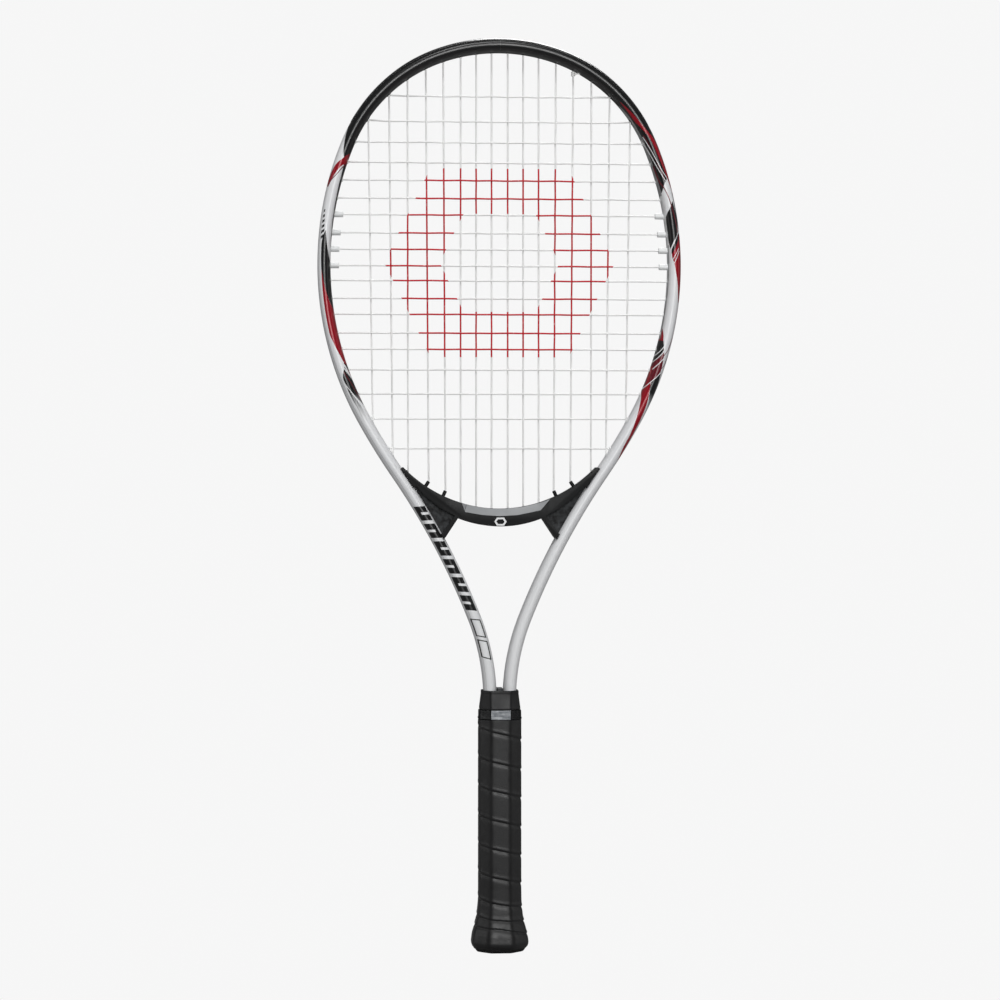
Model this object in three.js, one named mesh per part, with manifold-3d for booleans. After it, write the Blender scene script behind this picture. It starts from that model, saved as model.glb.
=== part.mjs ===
// Tennis racket: a bent hollow tube with a moulded throat bridge, grommet strips,
// a two-piece string bed and a wrapped octagonal handle. Millimetres, +Z from butt to tip,
// the strings lie in the XZ plane and the front face looks along -Y.
import * as THREE from 'three';
import { mergeVertices } from 'three/addons/utils/BufferGeometryUtils.js';
import Module from 'manifold-3d';

const wasm = await Module();
wasm.setup();

// ---- Driving dimensions ----
const OVERALL_LENGTH = 698.5;
const CLEARANCE = 0.3;
const HOLE_CLEARANCE = CLEARANCE * 1.15;
const BEYOND = 300;
const DEGREE = Math.PI / 180;

// Frame tube: half sizes across the beam, wall and the outer string groove.
const BEAM_HALF_WIDTH = 5.1;
const BEAM_HALF_DEPTH = 10.5;
const TUBE_WALL = 0.7;
const GROOVE_DEPTH = 2.7;
const GROOVE_HALF_WIDTH = 3.2;
const BUMPER_PROUD = 0.8;
const TIP_TO_CENTRELINE = BEAM_HALF_WIDTH + BUMPER_PROUD;
const TUBE_FOOT_Z = 16;
const BEAM_CORNERS = 12;
const BEAM_SQUARENESS = 1.05;
const HOLLOW_FLOOR_SPREAD = 1.55;

// One side of the centreline from the tip to the handle: tangent arcs of radius and turn.
const SIDE_ARCS = [
  { radius: 136, turn: 19, steps: 3 },
  { radius: 119.7, turn: 48.5, steps: 7 },
  { radius: 243.5, turn: 51.5, steps: 8 },
  { radius: 509, turn: 5.5, steps: 1 },
  { radius: 554, turn: -13, steps: 3 },
  { radius: 171, turn: -21.5, steps: 4 },
];

// Distances along one side from the tip: to the widest place, and to the throat.
const WIDEST_DISTANCE = 345;
const THROAT_DISTANCE = 640;
const HALVINGS = 40;

// String bed: half offsets of the mains, heights of the crosses.
const STRING_RADIUS = 0.65;
const WEAVE_HALF_HEIGHT = 0.85;
const MAIN_OFFSETS = [6.2, 18.1, 30.0, 43.4, 56.8, 70.8, 84.9, 100.8];
const MAIN_FOOT_OFFSETS = [6.2, 18.1, 30.0, 43.4, 56.8, 72.3, 82.2, 97.4];
const BRIDGE_MAINS = 5;
const SHARED_FROM = 6;
const SHARED_HEADS = 2;
const CROSS_HEIGHTS = [
  653.8, 634.5, 618.5, 603.0, 589.4, 575.6, 563.0, 549.1, 536.5, 524.0,
  512.7, 499.0, 486.9, 472.6, 460.2, 444.5, 426.0, 407.0, 384.3,
];
const PEG_CROSSES = [6, 7, 8, 9];
const FIRST_SHARED_FOOT = CROSS_HEIGHTS.length - 2;
const SHARED_SIDE = 0.85;
const SHARED_RUN = 8;
const KNOT = { main: 4, radius: 1.5, length: 3, tail: 5, gap: 0.4, droop: 0.5 };
const WEAVE_END_GAP = 3;
const LOOP_CORNERS_FROM_X = 30;

// Grommet barrels: circumradius of the six-sided barrel and of its bore.
const BARREL = { outer: 1.6, bore: 1.05, proud: 0.8 };
const PEG = { outer: 2.05, bore: 1.05, proud: 6.5 };
const SHARED_BARREL = { outer: 2.6, bore: 1.95, proud: 0.8 };
const BRIDGE_BARREL = { outer: 1.4, bore: 1.0, proud: 0.8 };
const BRIDGE_PEG = { outer: 1.4, bore: 1.0, proud: 4.4 };
const TIP_PEG = { outer: 1.4, bore: 1.0, proud: 2.5 };
const STRIP_THICKNESS = 0.8;
const STRIP_HALF_WIDTH = 2.9;
const BUMPER_LIP = 1.8;
const BUMPER_SHOULDER = { depth: 8.2, top: -4.9, seat: -4.1, start: 3.6 };
const BUMPER_END_TURN = 61;
const STRIP_JOINT_GAP = 0.6;
const SIDE_STRIP_FOOT_Z = 325;

// Throat bridge: arcs of its string side, its slot and its under side.
const BRIDGE_TOP_Z = 338.4;
const BRIDGE_TOP_RADIUS = 103.1;
const BRIDGE_BAND = 5;
const BRIDGE_STRIP_REACH = 61.3;
const BRIDGE_FOOT_Z = 324.7;
const BRIDGE_FOOT_RADIUS = 85;
const BRIDGE_HALF_DEPTH = 9.8;
const BRIDGE_SLOT_HALF_WIDTH = 3;
const GUSSET_INNER = { x: 32.3, z: 331.1 };
const GUSSET_OUTER = { x: 41.6, z: 316.9 };
const GUSSET_WEB_HALF_DEPTH = 4.9;
const GUSSET_POCKET = [
  { x: 42.8, z: 322.62 },
  { x: 36.2, z: 332.14 },
  { x: 50, z: 339.5 },
  { x: 61, z: 348.5 },
];
const BRIDGE_TOP_HALF_SPAN = 77;
const BRIDGE_SLOT_HALF_SPAN = 76;
const SHAFT_SIDE = { step: 18, highZ: 372, belowGusset: 2 };

// Handle: outer size of the wrapped octagon, and the heights of its pieces.
const GRIP = { width: 33.3, depth: 31.5, cut: 9.25 };
const WRAP_THICKNESS = 1.6;
const PALLET_FOOT_Z = 14;
const PALLET_TOP_Z = 184.4;
const WRAP_TOP_Z = 177.3;
const TAPE_FOOT_Z = 177.6;
const TAPE_TOP_Z = 184.6;
const TAPE_THICKNESS = 1.3;
const COLLAR_FOOT_Z = 184.9;
const COLLAR_TOP_Z = 199.7;
const COLLAR_FOOT = { width: 31.1, depth: 29.3, cut: 7.8 };
const COLLAR_TOP = { width: 27.9, depth: 26.1, cut: 6.2 };
const COLLAR_FOOT_INSIDE = { width: 29.1, depth: 27.3, cut: 7.0 };
const COLLAR_TOP_INSIDE = { width: 26.7, depth: 24.9, cut: 5.6 };
const FLARE_WIDEST = { width: 44.2, depth: 41.8, cut: 12.3, z: 8.6 };
const FLARE_MIDDLE = { width: 39.2, depth: 37.1, cut: 10.9, z: 19.5 };
const FLARE_TOP = { width: 35.6, depth: 33.6, cut: 9.9, z: 27.7 };
const FLARE_END_Z = 40;
const FLARE_LOW = { inset: 0.5, z: 5.2, capZ: 5.6 };
const FLARE_HIGH = { inset: 0.7, z: 13 };
const BUTT_FACE = { width: 37.0, depth: 34.8, cut: 10.3, topZ: 2.2 };
const BUTT_EDGE = { footInset: 1.2, inset: 0.3, z: 1 };
const SPACER = { halfDepth: 8.8, footZ: 150, topZ: 201 };
const PALLET_CORE_HALF_DEPTH = 9.5;
const BUTT_RECESS = { width: 24, depth: 22, cut: 6.7 };
const BUTT_PLATE_THICKNESS = 3;
const CAP_TOP_Z = 32;
const CAP_WALL = 1.5;
const CAP_TOP_SLACK = 0.25;
const PLATE_FOOT_Z = 0.6;
const LATCH = { inset: 2.4, halfThickness: 0.8, halfWidth: 4, sunk: 0.5, topZ: 9.5 };
const STAPLE = { z: 27, halfLength: 4, halfHeight: 0.5, gap: 0.05, innerReach: 12, proud: 0.3 };

const metalPaint = (color) => new THREE.MeshStandardMaterial({ color, roughness: 0.28, metalness: 0.35 });
const plastic = (color, roughness = 0.45) => new THREE.MeshStandardMaterial({ color, roughness, metalness: 0 });
const steel = () => new THREE.MeshStandardMaterial({ color: 0x9a9da0, roughness: 0.35, metalness: 1 });

// ---- Solids ----
const racket = new THREE.Group();

function solid(geometry) {
  const bare = geometry.clone();
  bare.deleteAttribute('normal');
  bare.deleteAttribute('uv');
  const merged = mergeVertices(bare, 1e-4);
  const triVerts = new Uint32Array(merged.index.array);
  const made = new wasm.Manifold(new wasm.Mesh({
    numProp: 3,
    vertProperties: new Float32Array(merged.attributes.position.array),
    triVerts,
  }));
  if (made.volume() > 0) return made;
  for (let i = 0; i < triVerts.length; i += 3) {
    [triVerts[i + 1], triVerts[i + 2]] = [triVerts[i + 2], triVerts[i + 1]];
  }
  return new wasm.Manifold(new wasm.Mesh({
    numProp: 3,
    vertProperties: new Float32Array(merged.attributes.position.array),
    triVerts,
  }));
}

function addPiece(name, body, material) {
  const mesh = body.getMesh();
  const geometry = new THREE.BufferGeometry();
  geometry.setAttribute('position', new THREE.BufferAttribute(new Float32Array(mesh.vertProperties), 3));
  geometry.setIndex(new THREE.BufferAttribute(new Uint32Array(mesh.triVerts), 1));
  geometry.computeVertexNormals();
  const piece = new THREE.Mesh(geometry, material);
  piece.name = name;
  racket.add(piece);
}

function extrudeAlongY(shape, halfDepth, curveSegments = 12) {
  const settings = { depth: 2 * halfDepth, bevelEnabled: false, curveSegments };
  const geometry = new THREE.ExtrudeGeometry(shape, settings);
  geometry.rotateX(Math.PI / 2);
  geometry.translate(0, halfDepth, 0);
  return solid(geometry);
}

function box(low, high) {
  const geometry = new THREE.BoxGeometry(high[0] - low[0], high[1] - low[1], high[2] - low[2]);
  geometry.translate((low[0] + high[0]) / 2, (low[1] + high[1]) / 2, (low[2] + high[2]) / 2);
  return solid(geometry);
}

// A six-sided rod from one point to another.
function rod(from, to, radius, sides = 6) {
  const axis = new THREE.Vector3().subVectors(to, from);
  const geometry = new THREE.CylinderGeometry(radius, radius, axis.length(), sides);
  geometry.translate(0, axis.length() / 2, 0);
  geometry.applyQuaternion(new THREE.Quaternion().setFromUnitVectors(
    new THREE.Vector3(0, 1, 0),
    axis.clone().normalize(),
  ));
  geometry.translate(from.x, from.y, from.z);
  return solid(geometry);
}

// ---- Centreline of the frame ----
const TIP_Z = OVERALL_LENGTH - TIP_TO_CENTRELINE;

// The right-hand side as points with their heading; the heading turns from +X towards -Z.
function sideStations() {
  let at = { x: 0, z: TIP_Z, heading: 0 };
  const stations = [at];
  for (const { radius, turn, steps } of SIDE_ARCS) {
    const start = at;
    const bend = Math.sign(turn);
    for (let i = 1; i <= steps; i += 1) {
      const heading = start.heading + (turn * DEGREE * i) / steps;
      at = {
        x: start.x + bend * radius * (Math.sin(heading) - Math.sin(start.heading)),
        z: start.z + bend * radius * (Math.cos(heading) - Math.cos(start.heading)),
        heading,
      };
      stations.push(at);
    }
  }
  stations.push({ x: at.x, z: TUBE_FOOT_Z, heading: at.heading });
  return stations;
}

const SIDE = sideStations();
const SHAFT_X = SIDE[SIDE.length - 1].x;

// A path whose steps are exactly its stations, so that straight stretches stay cheap.
class StationPath extends THREE.Curve {
  constructor(points, tangents) {
    super();
    this.points = points;
    this.tangents = tangents;
  }

  at(list, t) {
    const place = t * (list.length - 1);
    const index = Math.min(Math.floor(place + 1e-6), list.length - 2);
    return list[index].clone().lerp(list[index + 1], place - index);
  }

  getPointAt(t) {
    return this.at(this.points, t);
  }

  getTangentAt(t) {
    return this.at(this.tangents, t).normalize();
  }
}

function framePath(stations) {
  const points = stations.map(({ x, z }) => new THREE.Vector3(x, 0, z));
  const tangents = stations.map(({ heading }) => (
    new THREE.Vector3(Math.cos(heading), 0, -Math.sin(heading))
  ));
  return new StationPath(points, tangents);
}

// Stations from one side of the tip to the other, with the left side first.
function mirrored(side) {
  const left = side.slice(1).reverse().map(({ x, z, heading }) => ({ x: -x, z, heading: -heading }));
  return [...left, ...side];
}

// Sweeps an outline of [depth, inward] points along a run of stations.
function sweepOutline(outline, stations) {
  const path = framePath(stations);
  const shape = new THREE.Shape(outline.map(([depth, inward]) => new THREE.Vector2(depth, inward)));
  return solid(new THREE.ExtrudeGeometry(shape, {
    steps: stations.length - 1,
    extrudePath: path,
    bevelEnabled: false,
  }));
}

// The oval beam: twelve corners, grown or shrunk evenly all round.
function beamOutline(grow) {
  const corners = [];
  for (let i = 0; i < BEAM_CORNERS; i += 1) {
    const angle = ((i + 0.5) * 2 * Math.PI) / BEAM_CORNERS;
    const depth = (BEAM_HALF_DEPTH + grow) * Math.cos(angle) * BEAM_SQUARENESS;
    const inward = (BEAM_HALF_WIDTH + grow) * Math.sin(angle) * BEAM_SQUARENESS;
    corners.push([
      Math.max(-BEAM_HALF_DEPTH - grow, Math.min(BEAM_HALF_DEPTH + grow, depth)),
      Math.max(-BEAM_HALF_WIDTH - grow, Math.min(BEAM_HALF_WIDTH + grow, inward)),
    ]);
  }
  return corners;
}

// The hollow of the tube steps inwards where the string groove is pressed in.
function hollowOutline() {
  const floor = -(BEAM_HALF_WIDTH - GROOVE_DEPTH - TUBE_WALL);
  return beamOutline(-TUBE_WALL).map(([depth, inward]) => (
    inward < floor && Math.abs(depth) < BEAM_HALF_DEPTH / 2
      ? [depth * HOLLOW_FLOOR_SPREAD, floor]
      : [depth, inward]
  ));
}

// Distance along one side as position and heading.
function alongSide(distance) {
  let left = distance;
  let at = { x: 0, z: TIP_Z, heading: 0 };
  for (const { radius, turn } of SIDE_ARCS) {
    const length = radius * Math.abs(turn) * DEGREE;
    const bend = Math.sign(turn);
    const heading = at.heading + (bend * Math.min(left, length)) / radius;
    at = {
      x: at.x + bend * radius * (Math.sin(heading) - Math.sin(at.heading)),
      z: at.z + bend * radius * (Math.cos(heading) - Math.cos(at.heading)),
      heading,
    };
    left -= length;
    if (left <= 0) return at;
  }
  return { x: at.x, z: at.z - left, heading: at.heading };
}

function inwardOf({ heading }) {
  return { x: -Math.sin(heading), z: -Math.cos(heading) };
}

// The place on one side where the inner wall passes a given x or z.
function whereInnerWall(axis, value, from, to) {
  let low = from;
  let high = to;
  const rising = axis === 'x' && from < WIDEST_DISTANCE / 2;
  for (let i = 0; i < HALVINGS; i += 1) {
    const middle = (low + high) / 2;
    const at = alongSide(middle);
    const edge = at[axis] + BEAM_HALF_WIDTH * inwardOf(at)[axis];
    if (edge < value === rising) low = middle;
    else high = middle;
  }
  return alongSide(low);
}

// ---- String holes: each has a place, an inward direction, its barrel and its strip ----
function hole(at, side, barrel, strip) {
  const inward = inwardOf(at);
  return {
    centre: new THREE.Vector3(side * at.x, 0, at.z),
    inward: new THREE.Vector3(side * inward.x, 0, inward.z),
    barrel,
    strip,
    side,
  };
}

function pointAt({ centre, inward }, reach, y = 0) {
  return centre.clone().addScaledVector(inward, reach).setY(y);
}

const mainHeads = (side) => MAIN_OFFSETS.map((offset, i) => hole(
  whereInnerWall('x', offset, 0, WIDEST_DISTANCE),
  side,
  i < SHARED_FROM ? BARREL : SHARED_BARREL,
  'bumper',
));

const sideStrip = (side) => (side < 0 ? 'left' : 'right');

const mainShaftFeet = (side) => MAIN_FOOT_OFFSETS.slice(BRIDGE_MAINS).map((offset, i) => hole(
  whereInnerWall('x', offset, WIDEST_DISTANCE, THROAT_DISTANCE),
  side,
  i === 0 ? TIP_PEG : SHARED_BARREL,
  sideStrip(side),
));

const crossEnds = (side) => CROSS_HEIGHTS.map((height, i) => {
  if (i < SHARED_HEADS) return mainHeads(side)[SHARED_FROM + i];
  if (i >= FIRST_SHARED_FOOT) return mainShaftFeet(side)[CROSS_HEIGHTS.length - i];
  const at = whereInnerWall('z', height, 0, THROAT_DISTANCE);
  return hole(at, side, PEG_CROSSES.includes(i) ? PEG : BARREL, sideStrip(side));
});

// The bridge's holes run square to its string side.
const BRIDGE_CENTRE_Z = BRIDGE_TOP_Z + BRIDGE_TOP_RADIUS;
const mainBridgeFeet = (side) => MAIN_FOOT_OFFSETS.slice(0, BRIDGE_MAINS).map((offset, i) => {
  const lean = Math.asin(offset / BRIDGE_TOP_RADIUS);
  const out = { x: side * Math.sin(lean), z: -Math.cos(lean) };
  return {
    centre: new THREE.Vector3(BRIDGE_TOP_RADIUS * out.x, 0, BRIDGE_CENTRE_Z + BRIDGE_TOP_RADIUS * out.z),
    inward: new THREE.Vector3(-out.x, 0, -out.z),
    barrel: i < 3 ? BRIDGE_BARREL : BRIDGE_PEG,
    strip: 'bridge',
    side,
  };
});

const HEADS = { left: mainHeads(-1), right: mainHeads(1) };
const ENDS = { left: crossEnds(-1), right: crossEnds(1) };
const SHAFT_FEET = { left: mainShaftFeet(-1), right: mainShaftFeet(1) };
const BRIDGE_FEET = { left: mainBridgeFeet(-1), right: mainBridgeFeet(1) };

const tubeHoles = [
  ...HEADS.left, ...HEADS.right,
  ...ENDS.left.slice(SHARED_HEADS, FIRST_SHARED_FOOT),
  ...ENDS.right.slice(SHARED_HEADS, FIRST_SHARED_FOOT),
  ...SHAFT_FEET.left, ...SHAFT_FEET.right,
];

// ---- Frame tube ----
function frameTube() {
  const stations = mirrored(SIDE);
  const grooveOutline = [
    [-GROOVE_HALF_WIDTH, -2 * BEAM_HALF_WIDTH],
    [GROOVE_HALF_WIDTH, -2 * BEAM_HALF_WIDTH],
    [GROOVE_HALF_WIDTH, GROOVE_DEPTH - BEAM_HALF_WIDTH],
    [-GROOVE_HALF_WIDTH, GROOVE_DEPTH - BEAM_HALF_WIDTH],
  ];
  const hoop = mirrored(SIDE.filter(({ z }) => z > SIDE_STRIP_FOOT_Z));
  let tube = sweepOutline(beamOutline(0), stations);
  const longer = stations.map((at, i) => (
    i === 0 || i === stations.length - 1 ? { ...at, z: at.z - 1 } : at
  ));
  tube = tube.subtract(sweepOutline(hollowOutline(), longer));
  tube = tube.subtract(sweepOutline(grooveOutline, hoop));
  for (const each of tubeHoles) {
    const radius = each.barrel.outer + HOLE_CLEARANCE;
    tube = tube.subtract(rod(pointAt(each, -BEAM_HALF_WIDTH), pointAt(each, BEAM_HALF_WIDTH + 1), radius));
  }
  addPiece('frame_tube', tube, metalPaint(0xdfe1e2));
}

// ---- Grommet strips ----
const STRIP_FLOOR = GROOVE_DEPTH - BEAM_HALF_WIDTH - CLEARANCE;

function withBarrels(strip, holes) {
  let body = strip;
  for (const each of holes) {
    const tip = BEAM_HALF_WIDTH + each.barrel.proud;
    const foot = pointAt(each, STRIP_FLOOR - STRIP_THICKNESS / 2);
    body = body.add(rod(foot, pointAt(each, tip), each.barrel.outer));
  }
  for (const each of holes) {
    const tip = BEAM_HALF_WIDTH + each.barrel.proud + 1;
    body = body.subtract(rod(pointAt(each, STRIP_FLOOR - 2), pointAt(each, tip), each.barrel.bore));
  }
  return body;
}

function stripOutline(halfWidth) {
  return [
    [-halfWidth, STRIP_FLOOR - STRIP_THICKNESS],
    [halfWidth, STRIP_FLOOR - STRIP_THICKNESS],
    [halfWidth, STRIP_FLOOR],
    [-halfWidth, STRIP_FLOOR],
  ];
}

// The head guard: a strip in the groove with a lip over each shoulder of the beam.
function bumperGuard() {
  const covered = SIDE.filter(({ heading }) => heading <= BUMPER_END_TURN * DEGREE);
  const guard = mirrored(covered);
  const face = -(BEAM_HALF_WIDTH + BUMPER_PROUD);
  const seat = -(BEAM_HALF_WIDTH + CLEARANCE);
  const edge = STRIP_HALF_WIDTH;
  const lip = BUMPER_LIP;
  const shoulder = BUMPER_SHOULDER;
  const outline = [
    [-shoulder.depth, shoulder.top],
    [-shoulder.start, face],
    [-lip, face],
    [-lip, STRIP_FLOOR - STRIP_THICKNESS],
    [lip, STRIP_FLOOR - STRIP_THICKNESS],
    [lip, face],
    [shoulder.start, face],
    [shoulder.depth, shoulder.top],
    [shoulder.depth, shoulder.seat],
    [shoulder.start, seat],
    [edge, seat],
    [edge, STRIP_FLOOR],
    [-edge, STRIP_FLOOR],
    [-edge, seat],
    [-shoulder.start, seat],
    [-shoulder.depth, shoulder.seat],
  ];
  let body = sweepOutline(outline, guard);
  body = withBarrels(body, [...HEADS.left, ...HEADS.right]);
  addPiece('bumper_guard', body, plastic(0x17181a, 0.4));
  return covered.length;
}

function sideGrommetStrip(name, side, bumperStations) {
  const [joint, ...rest] = SIDE.slice(bumperStations - 1);
  const start = {
    x: joint.x + STRIP_JOINT_GAP * Math.cos(joint.heading),
    z: joint.z - STRIP_JOINT_GAP * Math.sin(joint.heading),
    heading: joint.heading,
  };
  const run = [start, ...rest.filter(({ z }) => z > SIDE_STRIP_FOOT_Z)];
  const foot = run[run.length - 1];
  run[run.length - 1] = {
    x: foot.x - 2 * STRIP_JOINT_GAP * Math.cos(foot.heading),
    z: foot.z + 2 * STRIP_JOINT_GAP * Math.sin(foot.heading),
    heading: foot.heading,
  };
  const stations = side > 0 ? run : run.slice().reverse().map(({ x, z, heading }) => (
    { x: -x, z, heading: -heading }
  ));
  const holes = tubeHoles.filter((each) => each.strip === name);
  const body = withBarrels(sweepOutline(stripOutline(STRIP_HALF_WIDTH), stations), holes);
  addPiece(`grommet_strip_${name}`, body, plastic(0xe9eaea, 0.4));
}

// ---- Throat bridge ----
function bridgeShape() {
  const tipTurn = Math.asin(BRIDGE_TOP_HALF_SPAN / BRIDGE_TOP_RADIUS);
  const footTurn = Math.asin(GUSSET_INNER.x / BRIDGE_FOOT_RADIUS);
  const shape = new THREE.Shape();
  const shaft = [];
  for (let distance = THROAT_DISTANCE; distance > WIDEST_DISTANCE; distance -= SHAFT_SIDE.step) {
    const at = alongSide(distance);
    if (at.z > GUSSET_OUTER.z - SHAFT_SIDE.belowGusset && at.z < SHAFT_SIDE.highZ) shaft.push(at);
  }
  shape.moveTo(-GUSSET_OUTER.x, GUSSET_OUTER.z);
  shape.lineTo(-GUSSET_INNER.x, GUSSET_INNER.z);
  shape.absarc(0, BRIDGE_FOOT_Z + BRIDGE_FOOT_RADIUS, BRIDGE_FOOT_RADIUS, -Math.PI / 2 - footTurn,
    -Math.PI / 2 + footTurn, false);
  shape.lineTo(GUSSET_OUTER.x, GUSSET_OUTER.z);
  for (const at of shaft) shape.lineTo(at.x, at.z);
  shape.absarc(0, BRIDGE_CENTRE_Z, BRIDGE_TOP_RADIUS, -Math.PI / 2 + tipTurn, -Math.PI / 2 - tipTurn, true);
  for (const at of shaft.reverse()) shape.lineTo(-at.x, at.z);
  return shape;
}

// The pocket of one gusset leaves a rim all round a thin web.
function gussetPocket(side) {
  return new THREE.Shape(GUSSET_POCKET.map(({ x, z }) => new THREE.Vector2(side * x, z)));
}

function throatBridge() {
  let body = extrudeAlongY(bridgeShape(), BRIDGE_HALF_DEPTH, 16);
  body = body.subtract(sweepOutline(beamOutline(CLEARANCE), mirrored(SIDE)));
  const slot = new THREE.Shape();
  const slotRadius = BRIDGE_TOP_RADIUS + BRIDGE_BAND;
  const slotTurn = Math.asin(BRIDGE_SLOT_HALF_SPAN / slotRadius);
  slot.absarc(0, BRIDGE_CENTRE_Z, slotRadius, -Math.PI / 2 - slotTurn, -Math.PI / 2 + slotTurn, false);
  slot.lineTo(BRIDGE_SLOT_HALF_SPAN, BRIDGE_FOOT_Z - BRIDGE_FOOT_RADIUS);
  slot.lineTo(-BRIDGE_SLOT_HALF_SPAN, BRIDGE_FOOT_Z - BRIDGE_FOOT_RADIUS);
  body = body.subtract(extrudeAlongY(slot, BRIDGE_SLOT_HALF_WIDTH, 16));
  for (const side of [-1, 1]) {
    const pocket = extrudeAlongY(gussetPocket(side), BRIDGE_HALF_DEPTH - GUSSET_WEB_HALF_DEPTH);
    const reach = BRIDGE_HALF_DEPTH;
    body = body.subtract(pocket.translate([0, reach, 0])).subtract(pocket.translate([0, -reach, 0]));
  }
  for (const each of [...BRIDGE_FEET.left, ...BRIDGE_FEET.right]) {
    const radius = each.barrel.outer + HOLE_CLEARANCE;
    body = body.subtract(rod(pointAt(each, -BRIDGE_BAND - 1), pointAt(each, 1), radius));
  }
  for (const each of [SHAFT_FEET.left[0], SHAFT_FEET.right[0]]) {
    const radius = each.barrel.outer + HOLE_CLEARANCE;
    body = body.subtract(rod(pointAt(each, 0), pointAt(each, BEAM_HALF_WIDTH + each.barrel.proud + 1), radius));
  }
  const parts = body.decompose().sort((a, b) => b.volume() - a.volume());
  addPiece('throat_bridge', parts[0], plastic(0x1b1c1e, 0.4));
}

function bridgeGrommetStrip() {
  const near = BRIDGE_TOP_RADIUS + BRIDGE_BAND + CLEARANCE;
  const far = near + STRIP_THICKNESS;
  const turn = Math.asin(BRIDGE_STRIP_REACH / near);
  const shape = new THREE.Shape();
  shape.absarc(0, BRIDGE_CENTRE_Z, near, -Math.PI / 2 - turn, -Math.PI / 2 + turn, false);
  shape.absarc(0, BRIDGE_CENTRE_Z, far, -Math.PI / 2 + turn, -Math.PI / 2 - turn, true);
  let body = extrudeAlongY(shape, BRIDGE_SLOT_HALF_WIDTH - CLEARANCE, 16);
  const holes = [...BRIDGE_FEET.left, ...BRIDGE_FEET.right];
  const floor = -BRIDGE_BAND - CLEARANCE;
  for (const each of holes) {
    const foot = pointAt(each, floor - STRIP_THICKNESS / 2);
    body = body.add(rod(foot, pointAt(each, each.barrel.proud), each.barrel.outer));
  }
  for (const each of holes) {
    body = body.subtract(rod(pointAt(each, floor - 2), pointAt(each, each.barrel.proud + 1), each.barrel.bore));
  }
  addPiece('bridge_grommet_strip', body, plastic(0x141517, 0.35));
}

// ---- Strings ----
// Sweeps a small section along a route of corner points.
function stringAlong(route, sides) {
  const tangents = route.map((point, i) => {
    const before = route[Math.max(i - 1, 0)];
    const after = route[Math.min(i + 1, route.length - 1)];
    return new THREE.Vector3().subVectors(after, before).normalize();
  });
  const shape = new THREE.Shape();
  for (let i = 0; i < sides; i += 1) {
    const angle = ((i + 0.5) * 2 * Math.PI) / sides;
    const corner = [STRING_RADIUS * Math.cos(angle), STRING_RADIUS * Math.sin(angle)];
    if (i === 0) shape.moveTo(...corner);
    else shape.lineTo(...corner);
  }
  return solid(new THREE.ExtrudeGeometry(shape, {
    steps: route.length - 1,
    extrudePath: new StationPath(route, tangents),
    bevelEnabled: false,
  }));
}

const LOOP_REACH = STRIP_FLOOR - STRIP_THICKNESS - CLEARANCE / 2 - STRING_RADIUS;
const BRIDGE_LOOP_REACH = -BRIDGE_BAND - CLEARANCE * 2.5 - STRIP_THICKNESS - STRING_RADIUS;

// Corners of the outer loop between two holes on one side of the frame.
function outerLoop(from, to, reach, y) {
  const corners = [pointAt(from, reach, y)];
  const between = SIDE.filter(({ x, z }) => {
    const low = Math.min(from.centre.z, to.centre.z) + 1;
    const high = Math.max(from.centre.z, to.centre.z) - 1;
    return z > low && z < high && x > LOOP_CORNERS_FROM_X;
  });
  const ordered = from.centre.z > to.centre.z ? between : between.slice().reverse();
  for (const at of ordered) corners.push(pointAt(hole(at, from.side), reach, y));
  corners.push(pointAt(to, reach, y));
  return corners;
}

function mainFoot(side, i) {
  const name = side < 0 ? 'left' : 'right';
  return i < BRIDGE_MAINS ? BRIDGE_FEET[name][i] : SHAFT_FEET[name][i - BRIDGE_MAINS];
}

const sharedY = (i) => (i >= SHARED_FROM ? -SHARED_SIDE : 0);

// One half of the mains, from the middle of the throat out to the last main.
function halfMains(side) {
  const route = [];
  const heads = side < 0 ? HEADS.left : HEADS.right;
  for (let i = 0; i < MAIN_OFFSETS.length; i += 1) {
    const foot = mainFoot(side, i);
    const onBridge = i < BRIDGE_MAINS;
    const footEdge = onBridge ? foot.barrel.proud : BEAM_HALF_WIDTH + foot.barrel.proud;
    const y = sharedY(i);
    const headEdge = BEAM_HALF_WIDTH + heads[i].barrel.proud;
    const centred = y === 0 ? [] : [
      pointAt(foot, footEdge).add(new THREE.Vector3(0, 0, SHARED_RUN)),
      pointAt(heads[i], headEdge).add(new THREE.Vector3(0, 0, -SHARED_RUN)),
    ];
    const up = [
      pointAt(foot, onBridge ? BRIDGE_LOOP_REACH : LOOP_REACH, y),
      pointAt(foot, footEdge, y),
      ...centred,
      pointAt(heads[i], headEdge, y),
      pointAt(heads[i], LOOP_REACH, y),
    ];
    const goesUp = i % 2 === 0;
    route.push(...(goesUp ? up : up.reverse()));
    const last = i === MAIN_OFFSETS.length - 1;
    const ends = goesUp ? heads : MAIN_OFFSETS.map((_, j) => mainFoot(side, j));
    if (!last && (goesUp || !onBridge)) {
      const loop = outerLoop(ends[i], ends[i + 1], LOOP_REACH, (y + sharedY(i + 1)) / 2);
      route.push(...loop.slice(1, -1));
    }
  }
  return route;
}

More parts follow.
